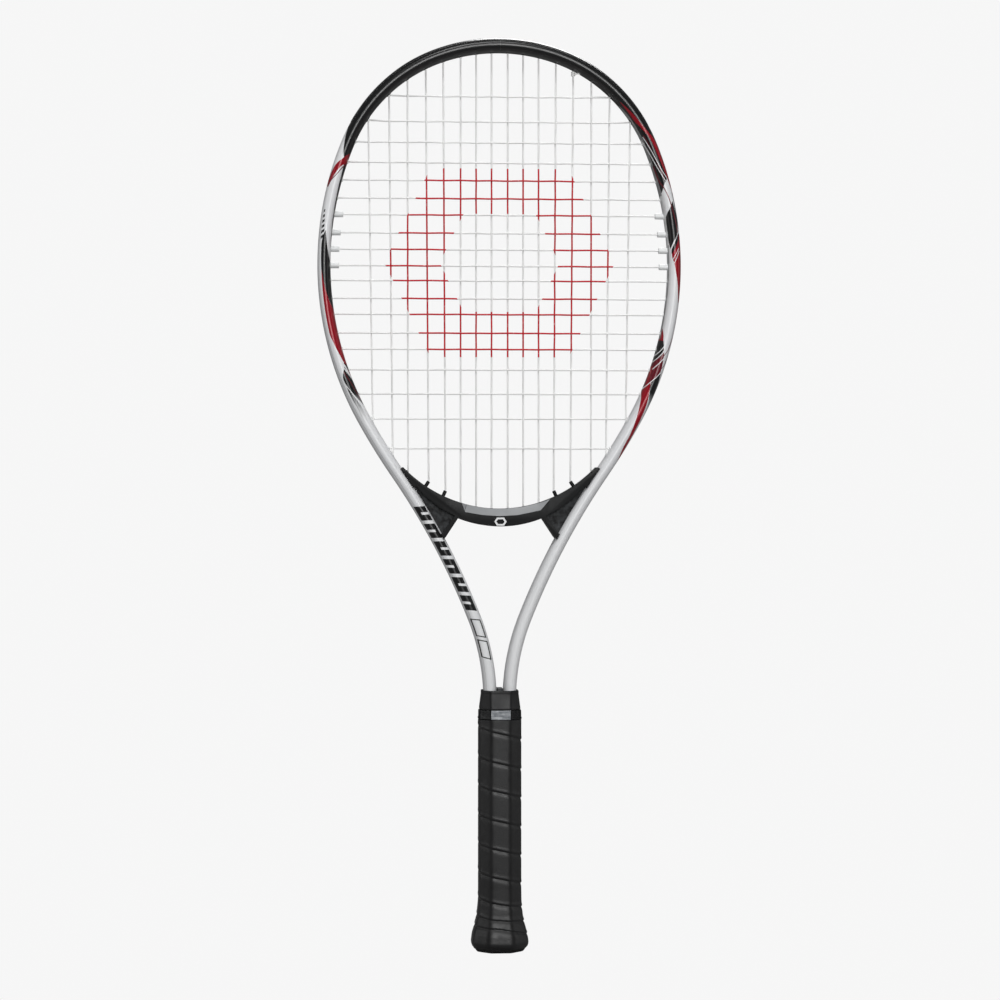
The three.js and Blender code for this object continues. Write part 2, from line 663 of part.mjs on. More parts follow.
// The mains in one length: out from the throat on both sides, with the tie-off knot at the head.
function mainString() {
  const tied = HEADS.right[KNOT.main];
  const knotTop = BEAM_HALF_WIDTH + tied.barrel.proud + KNOT.gap;
  const knotAt = pointAt(tied, knotTop);
  const knot = rod(knotAt, pointAt(tied, knotTop + KNOT.length), KNOT.radius);
  const tail = rod(
    pointAt(tied, knotTop + KNOT.length / 2),
    pointAt(tied, knotTop + KNOT.length / 2).add(new THREE.Vector3(KNOT.tail, 0, -KNOT.droop)),
    STRING_RADIUS,
  );
  const strings = stringAlong([...halfMains(-1).reverse(), ...halfMains(1)], 6);
  addPiece('main_string', strings.add(knot).add(tail), plastic(0xd9dbdb, 0.3));
}

const isShared = (row) => row < SHARED_HEADS || row >= FIRST_SHARED_FOOT;

// Where a main stands at a given height, between the mouths of its two barrels.
function mainX(i, height) {
  const foot = mainFoot(1, i);
  const head = pointAt(HEADS.right[i], BEAM_HALF_WIDTH + HEADS.right[i].barrel.proud);
  const low = pointAt(foot, (i < BRIDGE_MAINS ? 0 : BEAM_HALF_WIDTH) + foot.barrel.proud);
  return low.x + ((head.x - low.x) * (height - low.z)) / (head.z - low.z);
}

// The crosses: over one main and under the next, row by row from the tip down.
function crossString() {
  const route = [];
  CROSS_HEIGHTS.forEach((height, row) => {
    const from = ENDS.left[row];
    const to = ENDS.right[row];
    const y = isShared(row) ? SHARED_SIDE : 0;
    const inner = BEAM_HALF_WIDTH + from.barrel.proud;
    const limit = Math.abs(pointAt(to, inner).x) - WEAVE_END_GAP;
    const xs = MAIN_OFFSETS.map((_, i) => mainX(i, height)).filter((x) => x < limit);
    const across = [...xs.slice().reverse().map((x) => -x), ...xs];
    const line = [
      pointAt(from, LOOP_REACH, y),
      pointAt(from, inner, y),
      ...across.map((x, i) => new THREE.Vector3(
        x,
        2 * WEAVE_HALF_HEIGHT * ((i + row + xs.length) % 2 === 0 ? 1 : -1),
        height,
      )),
      pointAt(to, inner, y),
      pointAt(to, LOOP_REACH, y),
    ];
    if (row % 2 === 1) line.reverse();
    if (row > 0) {
      const ends = row % 2 === 1 ? ENDS.right : ENDS.left;
      const loopY = isShared(row) || isShared(row - 1) ? SHARED_SIDE : 0;
      const loop = outerLoop(ends[row - 1], ends[row], LOOP_REACH, loopY);
      route.push(...loop.slice(1, -1));
    }
    route.push(...line);
  });
  addPiece('cross_string', stringAlong(route, 4), plastic(0xd9dbdb, 0.3));
}

// ---- Handle ----
// Corners of an octagon with equal corner cuts, front and back flats along X.
function octagon({ width, depth, cut }) {
  const x = width / 2;
  const y = depth / 2;
  return [
    [x - cut, -y], [x, cut - y], [x, y - cut], [x - cut, y],
    [cut - x, y], [-x, y - cut], [-x, cut - y], [cut - x, -y],
  ];
}

const inset = ({ width, depth, cut }, by) => (
  { width: width - 2 * by, depth: depth - 2 * by, cut: cut - by * (2 - Math.SQRT2) }
);

// A closed octagonal body through a list of octagons at their heights.
function octagonLoft(levels) {
  const top = levels.length - 1;
  const profile = [
    new THREE.Vector2(0, 0),
    ...levels.map((level, i) => new THREE.Vector2(1, i)),
    new THREE.Vector2(0, top),
  ];
  const geometry = new THREE.LatheGeometry(profile, 8);
  const position = geometry.attributes.position;
  const rows = profile.length;
  for (let i = 0; i < position.count; i += 1) {
    const corner = Math.floor(i / rows) % 8;
    const row = i % rows;
    const level = levels[Math.min(Math.max(row - 1, 0), top)];
    const onAxis = row === 0 || row === rows - 1;
    const [x, y] = onAxis ? [0, 0] : octagon(level)[corner];
    position.setXYZ(i, x, y, level.z);
  }
  return solid(geometry);
}

const prism = (size, low, high) => octagonLoft([{ ...size, z: low }, { ...size, z: high }]);
const PALLET = inset(GRIP, WRAP_THICKNESS + CLEARANCE);

function shaftsEnvelope(low, high) {
  const stations = [{ x: 0, z: high, heading: Math.PI / 2 }, { x: 0, z: low, heading: Math.PI / 2 }];
  const one = sweepOutline(beamOutline(CLEARANCE), stations);
  return one.translate([SHAFT_X, 0, 0]).add(one.translate([-SHAFT_X, 0, 0]));
}

function pallets() {
  const core = box(
    [-SHAFT_X, -PALLET_CORE_HALF_DEPTH, PALLET_FOOT_Z - 1],
    [SHAFT_X, PALLET_CORE_HALF_DEPTH, PALLET_TOP_Z + 1],
  );
  const whole = prism(PALLET, PALLET_FOOT_Z, PALLET_TOP_Z)
    .subtract(shaftsEnvelope(PALLET_FOOT_Z - 1, PALLET_TOP_Z + 1))
    .subtract(core);
  const half = CLEARANCE / 2;
  const front = whole.subtract(box([-BEYOND, -half, 0], [BEYOND, BEYOND, BEYOND]));
  const back = whole.subtract(box([-BEYOND, -BEYOND, 0], [BEYOND, half, BEYOND]));
  addPiece('pallet_front', front, plastic(0x2a2b2d, 0.6));
  addPiece('pallet_back', back, plastic(0x2a2b2d, 0.6));
}

// A wedge that fills the gap between the two shafts where they enter the handle.
function shaftSpacer() {
  const halfGap = SHAFT_X - BEAM_HALF_WIDTH - CLEARANCE;
  const spacer = box([-halfGap, -SPACER.halfDepth, SPACER.footZ], [halfGap, SPACER.halfDepth, SPACER.topZ])
    .subtract(sweepOutline(beamOutline(CLEARANCE), mirrored(SIDE)));
  addPiece('shaft_spacer', spacer, plastic(0x3a3b3d, 0.55));
}

function gripWrap() {
  const outside = octagonLoft([
    { ...BUTT_FACE, z: BUTT_FACE.topZ },
    { ...inset(FLARE_WIDEST, FLARE_LOW.inset), z: FLARE_LOW.z },
    FLARE_WIDEST,
    { ...inset(FLARE_WIDEST, FLARE_HIGH.inset), z: FLARE_HIGH.z },
    FLARE_MIDDLE,
    FLARE_TOP,
    { ...GRIP, z: FLARE_END_Z },
    { ...GRIP, z: WRAP_TOP_Z },
  ]);
  const core = prism(inset(PALLET, -CLEARANCE), -1, BEYOND);
  let shell = outside.subtract(buttCapOutside(CLEARANCE)).subtract(core);
  for (const sides of Object.values(STAPLE_SIDES)) shell = shell.subtract(stapleBlock(sides, CLEARANCE));
  addPiece('grip_wrap', shell, plastic(0x202123, 0.75));
}

// The outside of the butt cap, grown for the wrap that lies on it.
function buttCapOutside(grow) {
  const wrap = (size, z) => ({ ...inset(size, WRAP_THICKNESS + CLEARANCE - grow), z });
  return octagonLoft([
    { ...inset(BUTT_FACE, BUTT_EDGE.footInset), z: grow > 0 ? -1 : 0 },
    { ...inset(BUTT_FACE, BUTT_EDGE.inset - grow), z: BUTT_EDGE.z },
    { ...inset(BUTT_FACE, BUTT_EDGE.inset - grow), z: BUTT_FACE.topZ - CLEARANCE },
    wrap(inset(FLARE_WIDEST, FLARE_LOW.inset), FLARE_LOW.capZ),
    wrap(FLARE_WIDEST, FLARE_WIDEST.z),
    wrap(inset(FLARE_WIDEST, FLARE_HIGH.inset), FLARE_HIGH.z),
    wrap(FLARE_MIDDLE, FLARE_MIDDLE.z),
    wrap(FLARE_TOP, FLARE_TOP.z),
    { ...inset(PALLET, -CLEARANCE - CAP_TOP_SLACK - grow), z: CAP_TOP_Z + grow },
  ]);
}

function buttCap() {
  const floor = PALLET_FOOT_Z - CLEARANCE;
  const cap = buttCapOutside(0)
    .subtract(prism(inset(PALLET, -CLEARANCE), floor, CAP_TOP_Z + 5))
    .subtract(prism(inset(PALLET, CAP_WALL), BUTT_PLATE_THICKNESS + CAP_WALL, floor + 1))
    .subtract(prism(BUTT_RECESS, -1, BUTT_PLATE_THICKNESS + 3));
  addPiece('butt_cap', cap, plastic(0x191a1c, 0.5));
}

function buttPlate() {
  let body = prism(inset(BUTT_RECESS, CLEARANCE), PLATE_FOOT_Z, BUTT_PLATE_THICKNESS);
  for (const side of [-1, 1]) {
    const x = side * (BUTT_RECESS.width / 2 - LATCH.inset);
    body = body.add(box(
      [x - LATCH.halfThickness, -LATCH.halfWidth, BUTT_PLATE_THICKNESS - LATCH.sunk],
      [x + LATCH.halfThickness, LATCH.halfWidth, LATCH.topZ],
    ));
  }
  addPiece('butt_plate', body, plastic(0x232427, 0.45));
}

function finishingTape() {
  const outside = inset(PALLET, -CLEARANCE - TAPE_THICKNESS);
  const tape = prism(outside, TAPE_FOOT_Z, TAPE_TOP_Z)
    .subtract(prism(inset(PALLET, -CLEARANCE), TAPE_FOOT_Z - 1, TAPE_TOP_Z + 1));
  addPiece('finishing_tape', tape, plastic(0x9b9ea1, 0.25));
}

function collar() {
  const outside = octagonLoft([
    { ...COLLAR_FOOT, z: COLLAR_FOOT_Z },
    { ...COLLAR_TOP, z: COLLAR_TOP_Z },
  ]);
  const rise = (COLLAR_TOP_Z - COLLAR_FOOT_Z) / 10;
  const inside = octagonLoft([
    { ...COLLAR_FOOT_INSIDE, z: COLLAR_FOOT_Z - rise },
    { ...COLLAR_TOP_INSIDE, z: COLLAR_TOP_Z + rise },
  ]);
  addPiece('collar', outside.subtract(inside), plastic(0x1d1e20, 0.6));
}

// ---- Staples that hold the butt cap under the wrap ----
const STAPLE_SIDES = { left: [-1, 0], right: [1, 0], front: [0, -1], back: [0, 1] };

function stapleBlock([sideX, sideY], grow) {
  const inner = STAPLE.innerReach;
  const across = sideX === 0 ? FLARE_TOP.depth : FLARE_TOP.width;
  const outer = across / 2 - WRAP_THICKNESS + STAPLE.proud + grow;
  const span = STAPLE.halfLength + grow;
  const low = STAPLE.z - STAPLE.halfHeight - grow;
  const high = STAPLE.z + STAPLE.halfHeight + grow;
  if (sideX !== 0) {
    const ends = [sideX * inner, sideX * outer].sort((a, b) => a - b);
    return box([ends[0], -span, low], [ends[1], span, high]);
  }
  const ends = [sideY * inner, sideY * outer].sort((a, b) => a - b);
  return box([-span, ends[0], low], [span, ends[1], high]);
}

function buttStaples() {
  for (const [name, sides] of Object.entries(STAPLE_SIDES)) {
    addPiece(`butt_staple_${name}`, stapleBlock(sides, 0).subtract(buttCapOutside(STAPLE.gap)), steel());
  }
}

// ---- Assembly ----
frameTube();
const bumperStations = bumperGuard();
sideGrommetStrip('left', -1, bumperStations);
sideGrommetStrip('right', 1, bumperStations);
throatBridge();
bridgeGrommetStrip();
mainString();
crossString();
pallets();
shaftSpacer();
buttCap();
buttPlate();
buttStaples();
gripWrap();
finishingTape();
collar();

export default racket;
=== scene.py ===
import math
import bpy
import bmesh
import numpy as np
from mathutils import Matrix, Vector


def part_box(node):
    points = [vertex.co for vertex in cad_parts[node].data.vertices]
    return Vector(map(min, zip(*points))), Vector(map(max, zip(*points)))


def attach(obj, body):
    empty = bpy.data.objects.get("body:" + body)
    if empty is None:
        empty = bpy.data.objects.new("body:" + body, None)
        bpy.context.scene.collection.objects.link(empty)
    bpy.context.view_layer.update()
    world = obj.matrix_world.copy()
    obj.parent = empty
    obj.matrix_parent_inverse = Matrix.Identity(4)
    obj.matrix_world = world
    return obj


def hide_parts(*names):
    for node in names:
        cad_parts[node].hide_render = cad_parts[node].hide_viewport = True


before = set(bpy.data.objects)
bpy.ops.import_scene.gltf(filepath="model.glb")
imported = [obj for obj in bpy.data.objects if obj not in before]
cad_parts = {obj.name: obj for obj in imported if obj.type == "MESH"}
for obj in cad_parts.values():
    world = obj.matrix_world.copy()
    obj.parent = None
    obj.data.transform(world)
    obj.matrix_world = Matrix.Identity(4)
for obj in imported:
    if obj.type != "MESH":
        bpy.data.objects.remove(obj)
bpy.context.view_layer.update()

MM = 0.001
DEGREE = math.pi / 180

# ---- Driving dimensions, repeated from the CAD part ----
BEAM_HALF_WIDTH = 5.1
BEAM_HALF_DEPTH = 10.5
BEAM_SQUARENESS = 2.3
BUMPER_PROUD = 0.8
GROOVE_FLOOR = -2.4
GROOVE_LIP = 3.4
GROOVE_END_DISTANCE = 575
GROOVE_RUN_OUT = 30
STRIP_SEAT = -2.7
STRIP_FACE = -3.5
STRIP_HALF_WIDTH = 2.9


def heights_of(node):
    """Lowest and highest z of a CAD node."""
    low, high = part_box(node)
    return low.z / MM, high.z / MM


TIP_Z = heights_of("bumper_guard")[1] - BEAM_HALF_WIDTH - BUMPER_PROUD
TUBE_FOOT_Z = heights_of("frame_tube")[0]
SIDE_ARCS = [(136, 19), (119.7, 48.5), (243.5, 51.5), (509, 5.5), (554, -13), (171, -21.5)]
WIDEST_DISTANCE = 345
THROAT_DISTANCE = 640

STRING_RADIUS = 0.65
MAIN_OFFSETS = [6.2, 18.1, 30.0, 43.4, 56.8, 70.8, 84.9, 100.8]
MAIN_FOOT_OFFSETS = [6.2, 18.1, 30.0, 43.4, 56.8, 72.3, 82.2, 97.4]
BRIDGE_MAINS = 5
BRIDGE_PEGS_FROM = 3
SHARED_FROM = 6
SHARED_HEADS = 2
CROSS_HEIGHTS = [
    653.8, 634.5, 618.5, 603.0, 589.4, 575.6, 563.0, 549.1, 536.5, 524.0,
    512.7, 499.0, 486.9, 472.6, 460.2, 444.5, 426.0, 407.0, 384.3,
]
PEG_CROSSES = (6, 7, 8, 9)
SHARED_SIDE = 0.85
BARREL = {"outer": 1.6, "bore": 0.95, "proud": 0.35}
PEG = {"outer": 2.3, "bore": 0.95, "proud": 6.5}
SHARED_BARREL = {"outer": 2.4, "bore": 1.75, "proud": 0.3}
BRIDGE_BARREL = {"outer": 1.4, "bore": 0.9, "proud": 0.15}
BRIDGE_PEG = {"outer": 1.4, "bore": 0.9, "proud": 4.4}
TIP_PEG = {"outer": 1.4, "bore": 0.9, "proud": 2.5}

BRIDGE_TOP_Z = 338.4
BRIDGE_TOP_RADIUS = 103.1
BRIDGE_CENTRE_Z = BRIDGE_TOP_Z + BRIDGE_TOP_RADIUS
BRIDGE_BAND = 5
BRIDGE_FOOT_Z = 324.7
BRIDGE_FOOT_RADIUS = 85
BRIDGE_HALF_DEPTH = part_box("throat_bridge")[1].y / MM
BRIDGE_TIP_X = 74.3
BRIDGE_SEAT = 3.7
WEB_HALF_DEPTH = 5.4
GUSSET_INNER = (32.3, 331.1)
GUSSET_OUTER = (41.6, 316.9)


# ---- Mesh helpers ----
def new_piece(name, verts, faces, material, uvs=None, smooth=True, scale=MM):
    mesh = bpy.data.meshes.new(name)
    mesh.from_pydata([tuple(v) for v in np.asarray(verts, float) * scale], [], [tuple(f) for f in faces])
    if uvs is not None:
        layer = mesh.uv_layers.new(name="flat")
        loops = np.zeros(len(mesh.loops), np.int32)
        mesh.loops.foreach_get("vertex_index", loops)
        layer.data.foreach_set("uv", np.asarray(uvs, np.float32)[loops].ravel())
    mesh.polygons.foreach_set("use_smooth", np.full(len(mesh.polygons), smooth))
    mesh.materials.append(material)
    mesh.validate()
    mesh.update()
    piece = bpy.data.objects.new(name, mesh)
    bpy.context.scene.collection.objects.link(piece)
    return piece


def closed_piece(name, verts, faces, material, uvs=None, smooth=True):
    """A piece with close points joined and its faces turned outwards."""
    piece = new_piece(name, verts, faces, material, uvs, smooth)
    work = bmesh.new()
    work.from_mesh(piece.data)
    bmesh.ops.remove_doubles(work, verts=work.verts, dist=1e-7)
    bmesh.ops.recalc_face_normals(work, faces=work.faces)
    work.to_mesh(piece.data)
    work.free()
    return piece


def grid_faces(rows, columns, close_rows=False):
    """Quads of a grid whose columns close into rings; the rows may close too."""
    faces = []
    for i in range(rows if close_rows else rows - 1):
        a, b = i * columns, (i + 1) % rows * columns
        for j in range(columns):
            k = (j + 1) % columns
            faces.append((a + j, a + k, b + k, b + j))
    return faces


def end_caps(rows, columns):
    return [tuple(range(columns)), tuple(reversed(range((rows - 1) * columns, rows * columns)))]


def sweep(points, sections):
    """Sweeps [across, inward] sections along a path; across is the Y axis, inward is given per point."""
    verts = []
    for (place, inward), section in zip(points, sections):
        verts.append(place + np.outer(section[:, 0], (0, 1, 0)) + np.outer(section[:, 1], inward))
    columns = len(sections[0])
    return np.vstack(verts), grid_faces(len(points), columns) + end_caps(len(points), columns)


def around(count):
    """Angles evenly round a circle."""
    return 2 * math.pi * np.arange(count) / count


def tube_along(route, radius):
    """A round tube along any polyline, its rings turned as little as possible."""
    tangents = np.gradient(route, axis=0)
    tangents /= np.linalg.norm(tangents, axis=1)[:, None]
    normal = np.cross(tangents[0], (0.1, 0.9, 0.3))
    angles = around(8)
    rings = []
    for place, tangent in zip(route, tangents):
        normal = normal - tangent * normal.dot(tangent)
        normal /= np.linalg.norm(normal)
        other = np.cross(tangent, normal)
        spokes = np.outer(np.cos(angles), normal) + np.outer(np.sin(angles), other)
        rings.append(place + radius * spokes)
    columns = len(angles)
    return np.vstack(rings), grid_faces(len(route), columns) + end_caps(len(route), columns)


def lathe_about(profile, foot, axis):
    """Turns a closed [radius, height] profile about an axis through foot."""
    axis = np.asarray(axis, float) / np.linalg.norm(axis)
    across = np.cross(axis, (0, 1, 0))
    across /= np.linalg.norm(across)
    angles = around(20)
    spokes = np.outer(np.cos(angles), across) + np.outer(np.sin(angles), np.cross(axis, across))
    rows = [foot + height * axis + radius * spokes for radius, height in profile]
    return np.vstack(rows), grid_faces(len(profile), len(angles), close_rows=True)


class Bundle:
    """Collects several closed shells into one mesh."""

    def __init__(self):
        self.verts = np.zeros((0, 3))
        self.faces = []

    def add(self, verts, faces):
        start = len(self.verts)
        self.verts = np.vstack([self.verts, verts])
        self.faces += [tuple(start + i for i in face) for face in faces]

    def piece(self, name, material, uvs=None):
        """The shells as one piece; uvs places each vertex on the material's flat coordinates."""
        return closed_piece(name, self.verts, self.faces, material, uvs)


# ---- Centreline of the frame ----
def along_side(distance):
    """x, z and heading at a distance from the tip; the heading turns from +X towards -Z."""
    left = distance
    x, z, heading = 0.0, TIP_Z, 0.0
    for radius, turn in SIDE_ARCS:
        length = radius * abs(turn) * DEGREE
        bend = math.copysign(1, turn)
        after = heading + bend * min(left, length) / radius
        x += bend * radius * (math.sin(after) - math.sin(heading))
        z += bend * radius * (math.cos(after) - math.cos(heading))
        heading = after
        left -= length
        if left <= 0:
            return x, z, heading
    return x, z - left, heading


def beam_place(s):
    """Centre of the beam and its inward direction at a distance from the tip, left negative."""
    side = -1 if s < 0 else 1
    x, z, heading = along_side(abs(s))
    return (
        np.array([side * x, 0, z]),
        np.array([-side * math.sin(heading), 0, -math.cos(heading)]),
    )


ARCS_LENGTH = sum(radius * abs(turn) * DEGREE for radius, turn in SIDE_ARCS)
FOOT_DISTANCE = ARCS_LENGTH + along_side(ARCS_LENGTH)[1] - TUBE_FOOT_Z


def crown(depth):
    """Half width of the beam at a depth from its middle."""
    n = BEAM_SQUARENESS
    return BEAM_HALF_WIDTH * max(0.0, 1 - abs(depth / BEAM_HALF_DEPTH) ** n) ** (1 / n)


def beam_section(groove):
    """Rounded beam outline as [depth, inward]; groove from 0 to 1 presses the string groove in."""
    n = BEAM_SQUARENESS
    start = -math.acos((GROOVE_LIP / BEAM_HALF_DEPTH) ** (n / 2))
    t = np.linspace(start, math.pi - start, 52)
    cosine, sine = np.cos(t), np.sin(t)
    outline = np.column_stack([
        BEAM_HALF_DEPTH * np.sign(cosine) * np.abs(cosine) ** (2 / n),
        BEAM_HALF_WIDTH * np.sign(sine) * np.abs(sine) ** (2 / n),
    ])
    pressed = [(-3.3, -4.75), (-3.2, -4.3), (-3.15, -2.8), (-2.8, GROOVE_FLOOR), (-1, GROOVE_FLOOR)]
    pressed += [(-depth, inward) for depth, inward in reversed(pressed)]
    channel = [(depth, (1 - groove) * -crown(depth) + groove * inward) for depth, inward in pressed]
    return np.vstack([outline, channel])


def where_wall(axis, value, start, end, reach=BEAM_HALF_WIDTH):
    """Distance at which a place across the beam has a given x or z."""
    low, high = start, end
    rising = axis == 0 and start < WIDEST_DISTANCE / 2
    for _ in range(40):
        middle = (low + high) / 2
        place, inward = beam_place(middle)
        edge = (place + reach * inward)[axis]
        if (edge < value) == rising:
            low = middle
        else:
            high = middle
    return low


class Hole:
    """A string hole: its place on the beam, the inward direction, and its barrel."""

    def __init__(self, place, inward, barrel, wall, distance=0.0):
        self.place = place
        self.inward = inward
        self.barrel = barrel
        self.wall = wall
        self.distance = distance

    def at(self, reach, y=0.0):
        return self.place + reach * self.inward + np.array([0, y, 0])

    def mouth(self, y=0.0):
        return self.at(self.wall + self.barrel["proud"], y)


def beam_hole(distance, side, barrel):
    place, inward = beam_place(side * distance)
    return Hole(place, inward, barrel, BEAM_HALF_WIDTH, side * distance)


def head_holes(side):
    holes = []
    for i, offset in enumerate(MAIN_OFFSETS):
        barrel = BARREL if i < SHARED_FROM else SHARED_BARREL
        holes.append(beam_hole(where_wall(0, offset, 0, WIDEST_DISTANCE), side, barrel))
    return holes


def shaft_holes(side):
    holes = []
    for i, offset in enumerate(MAIN_FOOT_OFFSETS[BRIDGE_MAINS:]):
        distance = where_wall(0, offset, WIDEST_DISTANCE, THROAT_DISTANCE)
        holes.append(beam_hole(distance, side, SHARED_BARREL if i else TIP_PEG))
    return holes


def bridge_place(turn, radius):
    """A place on an arc about the bridge's centre, and the direction there towards the centre."""
    out = np.array([math.sin(turn), 0, -math.cos(turn)])
    return np.array([0, 0, BRIDGE_CENTRE_Z]) + radius * out, -out


def bridge_holes(side):
    holes = []
    for i, offset in enumerate(MAIN_FOOT_OFFSETS[:BRIDGE_MAINS]):
        place, inward = bridge_place(side * math.asin(offset / BRIDGE_TOP_RADIUS), BRIDGE_TOP_RADIUS)
        holes.append(Hole(place, inward, BRIDGE_BARREL if i < BRIDGE_PEGS_FROM else BRIDGE_PEG, 0.0))
    return holes


def cross_holes(side, heads):
    """Holes that run level, so that each cross is straight; their inward step passes 1 mm of beam."""
    holes = []
    for i, height in enumerate(CROSS_HEIGHTS):
        if i < SHARED_HEADS:
            holes.append(heads[SHARED_FROM + i])
        else:
            distance = where_wall(2, height, 0, THROAT_DISTANCE, reach=0)
            hole = beam_hole(distance, side, PEG if i in PEG_CROSSES else BARREL)
            hole.inward = np.array([1 / hole.inward[0], 0, 0])
            holes.append(hole)
    return holes


HEADS = {side: head_holes(side) for side in (-1, 1)}
SHAFT_FEET = {side: shaft_holes(side) for side in (-1, 1)}
BRIDGE_FEET = {side: bridge_holes(side) for side in (-1, 1)}
CROSS_ENDS = {side: cross_holes(side, HEADS[side]) for side in (-1, 1)}


def main_foot(side, i):
    return BRIDGE_FEET[side][i] if i < BRIDGE_MAINS else SHAFT_FEET[side][i - BRIDGE_MAINS]


# ---- Material helpers ----
class Number:
    """A number inside a material: arithmetic and comparison on it build math nodes."""

    def __init__(self, shader, socket):
        self.shader, self.socket = shader, socket

    def __add__(self, other):
        return self.shader.math("ADD", self, other)

    def __sub__(self, other):
        return self.shader.math("SUBTRACT", self, other)

    def __rsub__(self, other):
        return self.shader.math("SUBTRACT", other, self)

    def __mul__(self, other):
        return self.shader.math("MULTIPLY", self, other)

    def __truediv__(self, other):
        return self.shader.math("DIVIDE", self, other)

    def __lt__(self, other):
        return self.shader.math("LESS_THAN", self, other)

    def __gt__(self, other):
        return self.shader.math("GREATER_THAN", self, other)

    def __abs__(self):
        return self.shader.math("ABSOLUTE", self)


class Shader:
    """Builds one procedural material with short calls."""

    def __init__(self, name):
        self.material = bpy.data.materials.new(name)
        self.material.use_nodes = True
        self.tree = self.material.node_tree
        self.surface = self.tree.nodes["Principled BSDF"]

    def node(self, kind, **settings):
        made = self.tree.nodes.new(kind)
        for key, value in settings.items():
            setattr(made, key, value)
        return made

    def link(self, source, target):
        self.tree.links.new(source.socket if isinstance(source, Number) else source, target)

    def put(self, socket, value):
        if isinstance(value, (Number, bpy.types.NodeSocket)):
            self.link(value, socket)
        else:
            socket.default_value = value

    def made_with(self, kind, settings, output):
        """A node with some of its inputs set or linked, as the output asked for."""
        made = self.node(kind)
        for name, value in settings.items():
            self.put(made.inputs[name], value)
        return made.outputs[output]

    def math(self, operation, a, b=0.0):
        made = self.node("ShaderNodeMath", operation=operation)
        self.put(made.inputs[0], a)
        self.put(made.inputs[1], b)
        return Number(self, made.outputs[0])

    def coordinates(self, stretch=None):
        place = self.node("ShaderNodeTexCoord").outputs["Object"]
        if stretch is None:
            return place
        return self.made_with("ShaderNodeMapping", {"Scale": stretch, "Vector": place}, 0)

    def split(self, vector):
        """The first two parts of a vector."""
        made = self.node("ShaderNodeSeparateXYZ")
        self.link(vector, made.inputs[0])
        return Number(self, made.outputs[0]), Number(self, made.outputs[1])

    def flat(self):
        """The mesh's own flat coordinates."""
        return self.split(self.node("ShaderNodeUVMap", uv_map="flat").outputs[0])

    def noise(self, scale, detail=3.0, roughness=0.5, stretch=None):
        settings = {"Scale": scale, "Detail": detail, "Roughness": roughness}
        settings["Vector"] = self.coordinates(stretch)
        return self.made_with("ShaderNodeTexNoise", settings, "Fac")

    def cells(self, scale):
        settings = {"Scale": scale, "Vector": self.coordinates()}
        return self.made_with("ShaderNodeTexVoronoi", settings, "Distance")

    def remap(self, value, low, high, to_low=0.0, to_high=1.0):
        made = self.node("ShaderNodeMapRange")
        self.link(value, made.inputs[0])
        for i, number in enumerate((low, high, to_low, to_high)):
            made.inputs[i + 1].default_value = number
        return Number(self, made.outputs[0])

    def speckle(self, scale, detail, roughness, low, high, to_low=0.0, to_high=1.0):
        """Noise whose middle range is spread between two numbers."""
        return self.remap(self.noise(scale, detail, roughness), low, high, to_low, to_high)

    def mix(self, factor, a, b, blend="MIX"):
        made = self.node("ShaderNodeMix", data_type="RGBA", blend_type=blend)
        self.put(made.inputs[0], factor)
        self.put(made.inputs[6], a)
        self.put(made.inputs[7], b)
        return made.outputs[2]

    def bump(self, height, distance, strength, **below):
        settings = {"Strength": strength, "Distance": distance, "Height": height}
        return self.made_with("ShaderNodeBump", {**settings, **below}, 0)

    def finish(self, colour, roughness, **others):
        """Sets the surface's inputs; an underscore stands for a space in their names."""
        for name, value in {"Base_Color": colour, "Roughness": roughness, **others}.items():
            self.put(self.surface.inputs[name.replace("_", " ")], value)
        return self.material


def rgb(red, green, blue):
    """A display colour from 0 to 255 as the linear colour that shaders use."""
    def linear(value):
        value /= 255
        return value / 12.92 if value <= 0.04045 else ((value + 0.055) / 1.055) ** 2.4
    return (linear(red), linear(green), linear(blue), 1.0)


def grey(level):
    """A grey given as linear light."""
    return (level, level, level, 1.0)


# ---- Paint on the frame ----
PAINT = {
    "white": rgb(224, 225, 226),
    # The next grey is white paint darkened as painted shade on the right beam's inner flank and along its
    # inner edge.
    "grey": rgb(150, 151, 152),
    "black": rgb(14, 15, 16),
    "red": rgb(142, 2, 24),
    # The next light grey is a painted shade line down the left beam's outer side.
    "pale_grey": rgb(192, 193, 194),
    "dark_red": rgb(96, 10, 26),
}
METALLIC_PAINT = ("red", "dark_red")

